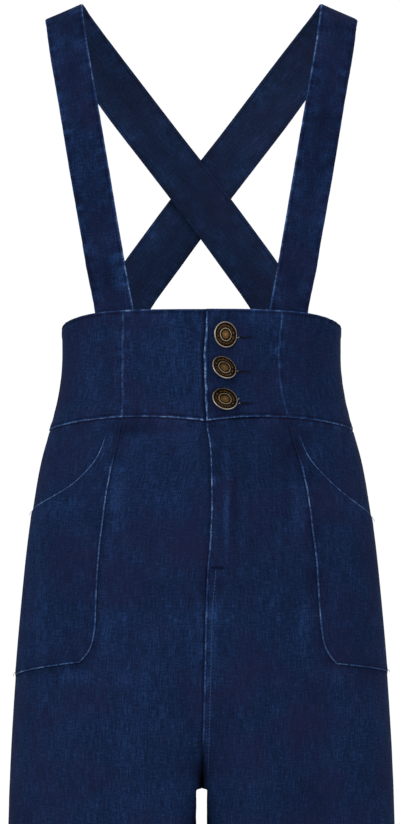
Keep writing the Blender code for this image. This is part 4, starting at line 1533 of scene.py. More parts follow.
@dataclass
class Legs:
    """The two wide legs: a front and a back each, from the waist seam to the turned-up hem."""

    form: CutForm
    wear_and_shade_map: WearAndShadeMap
    creases: Creases
    pockets: "PatchPockets"
    wall: float = 1.6 * MM
    hem_wall: float = 3.0 * MM
    seam_ease: float = 0.06
    underlap: float = 0.008
    underlap_end: float = -0.522
    lap_flat: float = 0.012
    lap_ease: float = 0.025
    lap_end_ease: float = 0.025
    roll_end: float = -0.650
    roll_ease: float = 0.045
    cell: float = 3.9 * MM
    about_fork: tuple[float, float] = (4.0 * MM, -1.5 * MM)
    rubbed_row: float = 5.8 * MM
    rubbed_stray: float = 2.0 * MM
    seam_rows: tuple[float, float] = (2.2 * MM, 7.4 * MM)
    # Where the bar at the fly's foot starts, from the left front's edge, and its length
    fly_bar: tuple[float, float] = (0.0035, 0.012)
    # How much paler a ridge, and darker with painted shade a trough, is for each metre of its height
    crease_fade: tuple[float, float] = (110.0, 50.0)
    # The fold beside the fly: height off the cloth, place, half width, foot, ease
    fly_fold: tuple[float, ...] = (0.5 * MM, 0.0165, 0.006, -0.530, 0.02)
    # The right front's shadow beside the crotch seam: place, half width, strength, ease
    seam_shadow: tuple[float, ...] = (0.9 * MM, 1.8 * MM, 1.3, 0.04)
    # The pale line's share on the right front's, left back's and right back's inner edge
    faint_wear: tuple[float, float, float] = (0.05, 0.5, 0.1)
    # Height, strength of the pale line along the left front's inner edge
    fly_wear: Table = (
        (-0.398, 0.85),
        (-0.440, 0.82),
        (-0.500, 0.85),
        (-0.533, 0.80),
        (-0.560, 0.66),
        (-0.620, 0.60),
        (-0.690, 0.50),
        (-0.725, 0.30),
        (-0.740, 0.10),
        (-1.450, 0.15),
    )
    # the dark line along the top edge, under the waist seam, is painted shade in the seam's gap
    waist_look: SeamLook = SeamLook(
        wear=0.0, bulk=0.1 * MM, pucker=0.28 * MM, pitch=6.0 * MM, painted_furrow_shade=1.5, row=0.9 * MM
    )
    inner_look: SeamLook = SeamLook(
        wear=0.9, spread=1.1, roll=0.7 * MM, bulk=0.45 * MM, pucker=0.28 * MM
    )
    side_look: SeamLook = SeamLook(wear=0.22, bulk=0.1 * MM, pucker=0.15 * MM, painted_furrow_shade=0.25)
    hem_look: SeamLook = SeamLook(
        wear=0.60, bulk=0.0, pucker=0.55 * MM, pitch=11.0 * MM, reach=26.0 * MM, mottle=0.6
    )

    def heights(self) -> np.ndarray:
        """Return the rows' heights from the waist seam to the hem."""
        form = self.form
        hem_top = form.hem + form.hem_depth
        top = form.waist_seam - np.asarray(EDGE_STATIONS[:-1])
        low, high = form.near_fork
        over, under = (form.fork + drop for drop in self.about_fork)
        upper = np.linspace(form.waist_seam - EDGE_STATIONS[-1], high, 86)
        over_fork = np.linspace(high, over, 28)[1:]
        about_fork = form.fork + np.linspace(*self.about_fork, 38)[1:]
        under_fork = np.linspace(under, low, 18)[1:]
        lower = np.linspace(low, hem_top + 2.0 * MM, 124)[1:]
        hem = form.hem + graded(form.hem_depth, 3.0 * MM, EDGE_STATIONS[:5])[::-1]
        return np.concatenate((top, upper, over_fork, about_fork, under_fork, lower, hem))

    def fly_lap(self, x: np.ndarray, height: np.ndarray) -> np.ndarray:
        """Return how far the left front stands out over the right one along the fly."""
        near = 1.0 - smooth((x - self.lap_flat) / self.lap_ease)
        above = 1.0 - smooth((self.form.fly_bottom - height) / self.lap_end_ease)
        return (self.wall + self.form.lap_gap) * near * above

    def level(self, face: Face, share: np.ndarray, height: np.ndarray) -> np.ndarray:
        """Return a row's heights, bent to the waist seam where the row is near it."""
        form = self.form
        ease = 1.0 - smooth((form.waist_seam - height) / self.seam_ease)
        edge = form.seam_height(form.share_out(face, share)) - form.seam_gap / 2
        return height + (edge - form.waist_seam) * ease

    def lift(
        self, side: Side, face: Face, share: np.ndarray, height: np.ndarray
    ) -> tuple[np.ndarray, np.ndarray]:
        """Return how far a front or back stands out in its creases and pocket puckers.

        Args:
            side: The side of the wearer.
            face: The front or the back.
            share: Shares of the way round.
            height: Heights.

        Returns:
            The lift and the tone that goes with it: paler ridges and troughs darkened with painted shade.
        """
        inward = np.abs(share) * self.form.total(face, height)
        lift = self.creases.at(side, face, inward, height)
        ridge, trough = self.crease_fade
        fade = ridge * np.maximum(lift, 0.0) + trough * np.minimum(lift, 0.0)
        if face is Face.BACK:
            return lift, fade
        if side is Side.LEFT:
            rise, place, half, foot, ease = self.fly_fold
            lift = lift + rise * bell((inward - place) / half) * smooth((height - foot) / ease)
        puckers, tone_marks = self.pockets.puckers(side, share, height)
        return lift + puckers, fade + tone_marks

    def add(self, side: Side, face: Face, finish: bpy.types.Material, seed: int) -> None:
        """Build one leg's front or back.

        Args:
            side: The side of the wearer.
            face: The front or the back.
            finish: The cloth's material.
            seed: The seed of its puckers.
        """
        form = self.form
        heights = self.heights()
        total = form.total(face, heights)
        start = np.where(heights > form.fork, 0.0, form.seam_gap / 2)
        if face is Face.FRONT and side is Side.RIGHT:
            under = (heights - form.fly_bottom) / (self.underlap_end - form.fly_bottom)
            start = start - self.underlap * np.clip(under, 0.0, 1.0)
        stations = graded_rows(total - form.seam_gap / 2 - start, self.cell)
        share = (start[:, None] + stations) / total[:, None]
        height = self.level(face, share, np.broadcast_to(heights[:, None], share.shape))
        plain = form.point(side, face, share, height)
        looks = {
            Edge.TOP: self.waist_look,
            Edge.START: self.inner_look,
            Edge.END: self.side_look,
            Edge.BOTTOM: self.hem_look,
        }
        grid = measured_grid(share, height, plain, looks, seed, top_first=True)
        lift, fade = self.lift(side, face, share, height)
        inner_edge = grid.distance[Edge.START] < grid.distance[Edge.TOP]
        covered, left, right = self.faint_wear
        if side is Side.LEFT and face is Face.FRONT:
            lift = lift + self.fly_lap(share * total[:, None], height)
            along = read_table(self.fly_wear, height)[..., 0]
            wear_share = np.where(inner_edge, along, 1.0)
        elif face is Face.FRONT:
            wear_share = np.where(inner_edge, covered, 1.0)
            place, half, strength, ease = self.seam_shadow
            shadow = bell((share * total[:, None] - place) / half)
            fade = fade - strength * shadow * smooth((height - form.fork) / ease)
        else:
            wear_share = np.where(inner_edge, left if side is Side.LEFT else right, 1.0)
        hem_top = form.hem + form.hem_depth
        thick = smooth((hem_top + 2.0 * MM - height) / (2.0 * MM))
        wall = self.wall + (self.hem_wall - self.wall) * thick
        word = f"{face.name.lower()}_{side.name.lower()}"
        cloth = panel_cloth(
            node=word,
            grid=grid,
            place=lambda out: form.point(side, face, share, height, out),
            lift=lift,
            wall=wall,
            fade=fade + self.wear_and_shade_map.at(face, plain),
            wear_share=wear_share,
            roll_share=np.where(inner_edge, smooth((height - self.roll_end) / self.roll_ease), 1.0),
        )
        seat = "back" if face is Face.BACK else f"front_{side.name.lower()}"
        cloth.dress("denim", finish, "hung", f"cloth_waist_{seat}")

    def build(self, finish: bpy.types.Material) -> None:
        """Build both fronts and both backs."""
        for index, side in enumerate(Side):
            self.add(side, Face.FRONT, finish, 21 + index)
            self.add(side, Face.BACK, finish, 31 + index)

    def sew_line(
        self,
        sewing: Sewing,
        side: Side,
        face: Face,
        inward: np.ndarray,
        heights: np.ndarray,
        bulk: float = 0.45 * MM,
    ) -> None:
        """Sew one line on a front or back.

        Args:
            sewing: What the stitches join.
            side: The side of the wearer.
            face: The front or the back.
            inward: Distances round the cloth from the middle or inseam.
            heights: Heights.
            bulk: How far the seam's turnings lift the line.
        """
        form = self.form
        share = inward / form.total(face, heights)
        lift, _ = self.lift(side, face, share, heights)
        if side is Side.LEFT and face is Face.FRONT:
            lift = lift + self.fly_lap(inward, heights)
        sewing.follow(form, side, face, share, heights, lift + bulk)

    def sew(self, sewing: Sewing) -> None:
        """Topstitch the fly, the crotch and seat seams and the hems, and bar the fly's foot.

        Args:
            sewing: What the stitches join.
        """
        form = self.form
        top, fork = form.waist_seam - 0.004, form.fork + 0.006
        near, far = self.seam_rows
        # Face, distance from the seam, where the line starts and ends, points
        for face, inset, start, end, count in (
            (Face.FRONT, near, top, form.fly_bottom, 60),
            (Face.FRONT, near, form.fly_bottom - 0.002, fork, 90),
            (Face.BACK, near, top, fork, 120),
            (Face.BACK, far, top, fork, 120),
        ):
            heights = np.linspace(start, end, count)
            self.sew_line(sewing, Side.LEFT, face, np.full_like(heights, inset), heights)
        for side in Side:
            for face in Face:
                share = np.linspace(0.002, 0.998, 140)
                level = form.hem + form.hem_depth - 3.0 * MM
                height = np.full_like(share, level)
                total = form.total(face, height)
                self.sew_line(sewing, side, face, share * total, height, bulk=0.05 * MM)
        self.bar(sewing, form.fly_bottom - 0.001, *self.fly_bar)

    def sew_worn(self, sewing: Sewing) -> None:
        """Sew the rubbed row beside the crotch seam."""
        heights = np.linspace(self.form.fly_bottom - 0.004, self.form.fork + 0.012, 90)
        places = self.rubbed_row + self.rubbed_stray * smooth((heights + 0.585) / 0.05)
        share = [self.form.share_at(Face.FRONT, z, x) for z, x in zip(heights, places)]
        inward = np.array(share) * self.form.total(Face.FRONT, heights)
        self.sew_line(sewing, Side.LEFT, Face.FRONT, inward, heights)

    def bar(self, sewing: Sewing, height: float, start: float, length: float) -> None:
        """Sew a short dense bar across the foot of the fly.

        Args:
            sewing: What the stitches join.
            height: The bar's height.
            start: Its start, from the left front's inner edge.
            length: Its length.
        """
        places = np.arange(start, start + length, 0.42 * MM)
        level = np.full_like(places, height)
        share = places / self.form.total(Face.FRONT, level)
        lift = self.fly_lap(places, level) + 0.55 * MM
        line, normals = outward(
            lambda out: self.form.point(Side.LEFT, Face.FRONT, share, level, out + lift)
        )
        upright = np.broadcast_to(np.array((0.0, 0.0, 1.0)), line.shape)
        dense = Stitch(length=2.2 * MM, pitch=0.42 * MM, width=0.42 * MM, rise=0.4 * MM)
        sewing.lay(line, upright, normals, dense)


@dataclass
class PatchPockets:
    """The two patch pockets with their curved mouths."""

    form: CutForm
    wear_and_shade_map: WearAndShadeMap
    wall: float = 1.4 * MM
    lift: float = 0.75 * MM
    side_inset: float = 0.004
    width: float = 0.12
    rows: int = 110
    columns: int = 64
    stitch_inset: float = 2.0 * MM
    # x and height on the inner seam, share of the way round the front and height on the outer edge
    right: Table = (
        (0.0745, -0.3985, 0.440, -0.4020),
        (0.0775, -0.4180, 0.457, -0.4240),
        (0.0820, -0.4370, 0.497, -0.4400),
        (0.0850, -0.4530, 0.571, -0.4550),
        (0.0870, -0.4640, 0.662, -0.4648),
        (0.0880, -0.4710, 0.752, -0.4710),
        (0.0887, -0.4770, 0.838, -0.4755),
        (0.0894, -0.4830, 0.920, -0.4787),
        (0.0902, -0.4900, 1.0, -0.4815),
        (0.0940, -0.5240, 1.0, -0.5150),
        (0.0960, -0.5600, 1.0, -0.5530),
        (0.0972, -0.5910, 1.0, -0.5910),
        (0.1020, -0.6095, 1.0, -0.6150),
        (0.1110, -0.6205, 1.0, -0.6350),
    )
    left: Table = (
        (0.0800, -0.3985, 0.449, -0.4030),
        (0.0865, -0.4220, 0.477, -0.4280),
        (0.0920, -0.4400, 0.535, -0.4450),
        (0.0955, -0.4560, 0.613, -0.4600),
        (0.0973, -0.4660, 0.695, -0.4703),
        (0.0984, -0.4740, 0.775, -0.4770),
        (0.0993, -0.4805, 0.852, -0.4815),
        (0.1001, -0.4870, 0.927, -0.4848),
        (0.1010, -0.4940, 1.0, -0.4875),
        (0.1050, -0.5275, 1.0, -0.5200),
        (0.1070, -0.5600, 1.0, -0.5550),
        (0.1090, -0.5880, 1.0, -0.5880),
        (0.1130, -0.6080, 1.0, -0.6120),
        (0.1230, -0.6220, 1.0, -0.6310),
    )
    # Height where the pale line begins on the inner seam and on the mouth, and how fast
    rubbed_from: tuple[float, float] = (-0.424, -0.400)
    rubbed_ease: float = 0.022
    side_hold: float = 6.0 * MM
    side_taper: float = 38.0 * MM
    side_free: float = 0.25
    turning: float = 8.0 * MM
    pucker: float = 0.32 * MM
    pucker_pitches: tuple[float, float] = (9.0 * MM, 4.3 * MM)
    pucker_reach: float = 14.0 * MM
    look: SeamLook = SeamLook(
        wear=0.75, roll=0.6 * MM, bulk=0.25 * MM, pucker=0.18 * MM, pitch=7.0 * MM, reach=9.0 * MM
    )
    trees: dict[Side, KDTree] = field(default_factory=dict)
    grids: dict[Side, tuple[np.ndarray, np.ndarray]] = field(default_factory=dict)

    def __post_init__(self) -> None:
        """Lay out each pocket's grid and the line of its seams."""
        for side in Side:
            table = self.left if side is Side.LEFT else self.right
            keyed = [(index, *row) for index, row in enumerate(table)]
            rows = read_table(keyed, np.linspace(0.0, len(table) - 1.0, self.rows))
            starts = [self.form.share_at(Face.FRONT, z, x) for x, z in rows[:, :2]]
            start = np.array(starts)[:, None]
            end = np.minimum(rows[:, 2:3], 1.0 - self.side_inset)
            near = np.asarray(EDGE_STATIONS) / self.width
            middle = np.linspace(near[-1], 1.0 - near[-1], self.columns)[1:-1]
            t = np.concatenate((near, middle, 1.0 - near[::-1]))
            share = start + (end - start) * t
            height = rows[:, 1:2] + (rows[:, 3:4] - rows[:, 1:2]) * t
            self.grids[side] = (share, height)
            places = np.stack((share, height), -1)
            seam = np.concatenate((places[:, 0], places[-1]))
            line = self.form.point(side, Face.FRONT, seam[:, 0], seam[:, 1])
            self.trees[side] = finder(line, MM)

    def puckers(
        self, side: Side, share: np.ndarray, height: np.ndarray
    ) -> tuple[np.ndarray, np.ndarray]:
        """Return how the pocket's seam draws up the front beside it.

        Args:
            side: The side of the wearer.
            share: Shares of the way round the front.
            height: Heights.

        Returns:
            The lift and the fading.
        """
        points = self.form.point(side, Face.FRONT, share, height)
        found = [self.trees[side].find(Vector(point)) for point in points.reshape(-1, 3)]
        distance = np.array([entry[2] for entry in found]).reshape(share.shape)
        along = np.array([entry[1] for entry in found]).reshape(share.shape) * MM
        ripple = Ripple(71 if side is Side.LEFT else 72)
        coarse, fine = self.pucker_pitches
        wave = ripple.at(along / coarse, distance / (30.0 * MM))
        wave = wave + 0.5 * ripple.at(along / fine + 50.0, 3.5)
        close = smooth(1.0 - distance / self.pucker_reach)
        return self.pucker * wave * close, (0.30 * wave - 0.25) * close

    def build(self, legs: Legs, finish: bpy.types.Material) -> None:
        """Build both pockets over the fronts.

        Args:
            legs: The fronts that they lie on.
            finish: The cloth's material.
        """
        for index, side in enumerate(Side):
            share, height = self.grids[side]
            word = f"pocket_{side.name.lower()}"
            plain = self.form.point(side, Face.FRONT, share, height)
            looks = dict.fromkeys(Edge, self.look)
            grid = measured_grid(share, height, plain, looks, 41 + index, top_first=True)
            ring = (plain[0], plain[1:, -1], plain[-1, -2::-1], plain[-2::-1, 0])
            border = finder(np.concatenate(ring), 0.5 * MM)
            nearest = np.array([border.find(Vector(spot))[2] for spot in plain.reshape(-1, 3)])
            nearest = nearest.reshape(share.shape)
            ground, tone_marks = legs.lift(side, Face.FRONT, share, height)
            _, _, seam_fade_and_shade, wear, _ = grid.relief()
            roll = -self.look.roll * smooth(1.0 - nearest / ROLL_REACH)
            hump = self.look.bulk * smooth((self.turning - nearest) / TURNING_EASE)
            to_side = (1.0 - share) * self.form.total(Face.FRONT, height)
            grown = smooth((to_side - self.side_hold) / self.side_taper)
            free = self.side_free + (1.0 - self.side_free) * grown
            out = ground + (hump + self.lift) * free
            begins = np.where(np.arange(share.shape[1]) * 2 < share.shape[1], *self.rubbed_from)
            wear = wear * smooth((begins - height) / self.rubbed_ease)
            place = self.form.point
            cloth = Cloth(
                node=word,
                outer=place(side, Face.FRONT, share, height, out + roll + self.wall * free),
                inner=place(side, Face.FRONT, share, height, ground + self.lift * free),
                weave=np.stack((grid.distance[Edge.START], height), axis=-1) + 0.31,
                fade=tone_marks + self.wear_and_shade_map.at(Face.FRONT, plain) + 0.5 * seam_fade_and_shade,
                wear=wear,
                edge_distance=nearest,
            )
            cloth.dress("denim", finish, "laid", f"cloth_front_{side.name.lower()}")

    def sew(self, legs: Legs, sewing: Sewing) -> None:
        """Topstitch each pocket's inner seam and foot, and its mouth.

        Args:
            legs: The fronts that they lie on.
            sewing: What the stitches join.
        """
        for side in Side:
            share, height = self.grids[side]
            inset = self.stitch_inset
            total = self.form.total(Face.FRONT, height[:, 0])
            inner = (share[:, 0] + inset / total, height[:, 0])
            foot = (share[-1], height[-1] + inset)
            mouth_rows = share[:, -1] < 1.0 - self.side_inset - TINY
            mouth = (share[mouth_rows, -1] - 0.6 * inset / 0.2, height[mouth_rows, -1] - 0.8 * inset)
            for line_share, line_height in (inner, foot, mouth):
                lift, _ = legs.lift(side, Face.FRONT, line_share, line_height)
                lift = lift + self.lift + self.wall + self.look.bulk
                sewing.follow(self.form, side, Face.FRONT, line_share, line_height, lift)


@dataclass
class Braces:
    """The two double bands from the front rim over the shoulders, crossed at the back."""

    form: CutForm
    waist_wall: float
    wall: float = 2.4 * MM
    lift: float = 0.8 * MM
    tilt: float = 20.5
    left_sway: float = -1.7 * MM
    sway_ease: float = 0.06
    follow: float = 0.045
    crossing: float = -0.168
    crossing_flat: float = 0.050
    crossing_ease: float = 0.060
    crossing_apart: float = 2.1 * MM
    direction_step: float = 0.00625
    rows: int = 300
    cell: float = 2.6 * MM
    edge_stitch: float = 3.2 * MM
    pucker: float = 0.32 * MM
    pucker_pitches: tuple[float, float] = (4.6 * MM, 2.9 * MM)
    pucker_reach: float = 13.0 * MM
    pinch: float = 0.75 * MM
    pinch_reach: float = 1.8 * MM
    furrow: float = 0.22 * MM
    # Strength of the pale line on a band's outer and on its inner edge
    edge_wear: tuple[float, float] = (0.30, 0.62)
    # x, y, height, half width, yaw in degrees
    stations: Table = (
        (0.0800, -0.0735, -0.3160, 0.0203, -22.0),
        (0.0836, -0.0740, -0.2900, 0.0199, -22.0),
        (0.0934, -0.0800, -0.2300, 0.0190, -19.0),
        (0.1055, -0.0810, -0.1600, 0.0192, -17.0),
        (0.1165, -0.0720, -0.0950, 0.0190, -15.0),
        (0.1258, -0.0520, -0.0420, 0.0192, -14.0),
        (0.1303, -0.0290, -0.0110, 0.0193, -14.0),
        (0.1316, 0.0000, 0.0024, 0.0196, -14.0),
        (0.1232, 0.0280, -0.0080, 0.0208, -12.0),
        (0.1040, 0.0500, -0.0340, 0.0222, -8.0),
        (0.0712, 0.0690, -0.0770, 0.0232, -2.0),
        (0.0360, 0.0800, -0.1220, 0.0232, 0.0),
        (0.0000, 0.0860, -0.1680, 0.0236, 0.0),
        (-0.0340, 0.0870, -0.2140, 0.0238, -2.0),
        (-0.0680, 0.0820, -0.2630, 0.0238, -18.0),
        (-0.0920, 0.0740, -0.3120, 0.0238, -24.0),
    )

    def station(self, t: np.ndarray) -> np.ndarray:
        """Return the stations' values at shares of the way along."""
        keyed = [(index, *row) for index, row in enumerate(self.stations)]
        return read_table(keyed, np.asarray(t) * (len(self.stations) - 1))

    def against_waist(self, point: np.ndarray, inset: float) -> np.ndarray:
        """Lay a point against the inner face of the waist panel, at its own level.

        Args:
            point: The point.
            inset: How far it lies behind the panel's outer face.

        Returns:
            The point as it is laid.
        """
        face = Face.FRONT if point[1] < 0.0 else Face.BACK
        height = min(point[2], self.form.rim)
        share = self.form.share_at(face, height, abs(point[0]))
        level = np.array(height)
        laid = self.form.point(Side.LEFT, face, np.array(share), level, -inset)
        line = self.form.point(Side.LEFT, face, np.array(0.0), level)[0]
        line *= 1.0 - smooth(np.array(abs(point[0]) / self.form.centre_fade))
        return np.array((math.copysign(laid[0] - line, point[0]), laid[1], point[2]))

    def lay(
        self, side: Side, t: np.ndarray, offsets: np.ndarray
    ) -> tuple[np.ndarray, np.ndarray]:
        """Lay a band's outer face.

        Args:
            side: The shoulder that it passes over.
            t: Shares of the way along it.
            offsets: Shares across it for each row, from its outer edge, -1, to its inner one, 1.

        Returns:
            The points and the outward directions.
        """
        values = self.station(t)
        step = self.direction_step
        ahead = self.station(np.minimum(t + step, 1.0))[:, :3]
        behind = self.station(np.maximum(t - step, 0.0))[:, :3]
        along = ahead - behind
        along /= np.linalg.norm(along, axis=-1, keepdims=True)
        turn = np.radians(values[:, 4])
        tilt = math.radians(self.tilt)
        width = np.stack(
            (-math.cos(tilt) * np.cos(turn), np.sin(turn), np.full_like(turn, math.sin(tilt))), -1
        )
        width -= along * (width * along).sum(-1, keepdims=True)
        width /= np.linalg.norm(width, axis=-1, keepdims=True)
        out = np.cross(along, width)
        out /= np.linalg.norm(out, axis=-1, keepdims=True)
        behind_body = values[:, 1] > 0.0
        from_cross = np.abs(values[:, 2] - self.crossing) - self.crossing_flat
        near_cross = np.where(behind_body, 1.0 - smooth(from_cross / self.crossing_ease), 0.0)
        centre = values[:, :3].copy()
        centre[:, 1] += side.value * self.crossing_apart * near_cross
        if side is Side.LEFT:
            sway = self.left_sway * smooth(values[:, 1] / self.sway_ease)
            centre[:, 0] += np.where(behind_body, sway, 0.0)
        half = values[:, 3]
        points = centre[:, None] + width[:, None] * (offsets * half[:, None])[..., None]
        laid = smooth((self.form.rim + self.follow - points[..., 2]) / self.follow)
        for row, column in zip(*np.nonzero(laid)):
            target = self.against_waist(points[row, column], self.waist_wall + self.lift)
            points[row, column] += (target - points[row, column]) * laid[row, column]
        return points, np.broadcast_to(out[:, None], points.shape)

    def build(self, side: Side, finish: bpy.types.Material, seed: int) -> None:
        """Build one band.

        Args:
            side: The shoulder that it passes over.
            finish: The cloth's material.
            seed: The seed of its puckers.
        """
        t = np.linspace(0.0, 1.0, self.rows)
        half = self.station(t)[:, 3]
        stations = graded_rows(2.0 * half, self.cell)
        offsets = stations / half[:, None] - 1.0
        points, out = self.lay(side, t, offsets)
        across = arc_lengths(points, 1)
        inner_edge = across[:, -1:] - across
        middle = arc_lengths(points, 0)[:, points.shape[1] // 2]
        run = np.broadcast_to(middle[:, None], across.shape)
        relief = np.zeros_like(across)
        fade = np.zeros_like(across)
        coarse, fine = self.pucker_pitches
        for index, distance in enumerate((across, inner_edge)):
            ripple = Ripple(seed * 4 + index)
            wave = ripple.at(run / coarse, distance / self.pucker_reach)
            wave = wave + 0.5 * ripple.at(run / fine + 70.0, 9.0 + distance / (30.0 * MM))
            close = smooth(1.0 - (distance - 3.0 * MM) / self.pucker_reach)
            relief += self.pucker * wave * close
            fade += 0.70 * wave * close
        mottle = Ripple(seed * 4 + 2)
        fade += 0.30 * mottle.at(run / (9.0 * MM), across / (10.0 * MM))
        fade += 0.25 * mottle.at(run / (60.0 * MM) + 33.0, across / (40.0 * MM))
        fade -= 0.30 * bell((across - half[:, None]) / (9.0 * MM))
        # painted shade: the bands darker where they run behind the body
        fade -= 0.12 * smooth(points[..., 1] / (40.0 * MM))
        # painted shade on the left band's front, away from the key light
        if side is Side.LEFT:
            fade -= 0.40 * bell((points[..., 2] + 0.115) / 0.075) * (points[..., 1] < 0.0)
        nearest = np.minimum(across, inner_edge)
        pinch = self.pinch * smooth(1.0 - nearest / self.pinch_reach)
        furrow = self.furrow * bell((nearest - self.edge_stitch) / FURROW_HALF)
        flip = np.array((side.value, 1.0, 1.0))
        outer = (points + out * (relief - pinch - furrow)[..., None]) * flip
        inner = (points + out * (relief + pinch + furrow - self.wall)[..., None]) * flip
        name = f"strap_{side.name.lower()}"
        cloth = Cloth(
            node=name,
            outer=outer,
            inner=inner,
            weave=np.stack((across, run), axis=-1) + seed,
            fade=fade,
            wear=np.where(across < inner_edge, *self.edge_wear),
            edge_distance=nearest,
            reverse=0.10,
        )
        cloth.dress("strap_denim", finish, "hung", "cloth_waist_back")

    def sew(self, side: Side, sewing: Sewing) -> None:
        """Edge-stitch one band on both of its faces.

        Args:
            side: The shoulder that it passes over.
            sewing: What the stitches join.
        """
        t = np.linspace(0.0, 1.0, self.rows)
        half = self.station(t)[:, 3]
        edge = 1.0 - self.edge_stitch / half
        points, out = self.lay(side, t, np.stack((-edge, edge), axis=-1))
        flip = np.array((side.value, 1.0, 1.0))
        for column in (0, 1):
            outer = points[:, column]
            facing = out[:, column]
            for depth, turn in ((0.0, 1.0), (self.wall, -1.0)):
                line = (outer - facing * depth) * flip
                sewing.run(line - facing * flip * turn * 0.1 * MM, facing * flip * turn)


def ring_faces(start: int, rings: int, sides: int) -> list[list[int]]:
    """Number the faces of a closed form made of rings of points.

    Args:
        start: The number of its first point.
        rings: How many rings it has.
        sides: How many points a ring has.

    Returns:
        The walls between the rings, then the first and last ring's own faces.
    """
    number = np.arange(rings * sides).reshape(rings, sides) + start
    ahead = np.roll(number, -1, axis=1)
    walls = np.stack((number[:-1], ahead[:-1], ahead[1:], number[1:]), -1).reshape(-1, 4)
    return [*walls.tolist(), number[0, ::-1].tolist(), number[-1].tolist()]


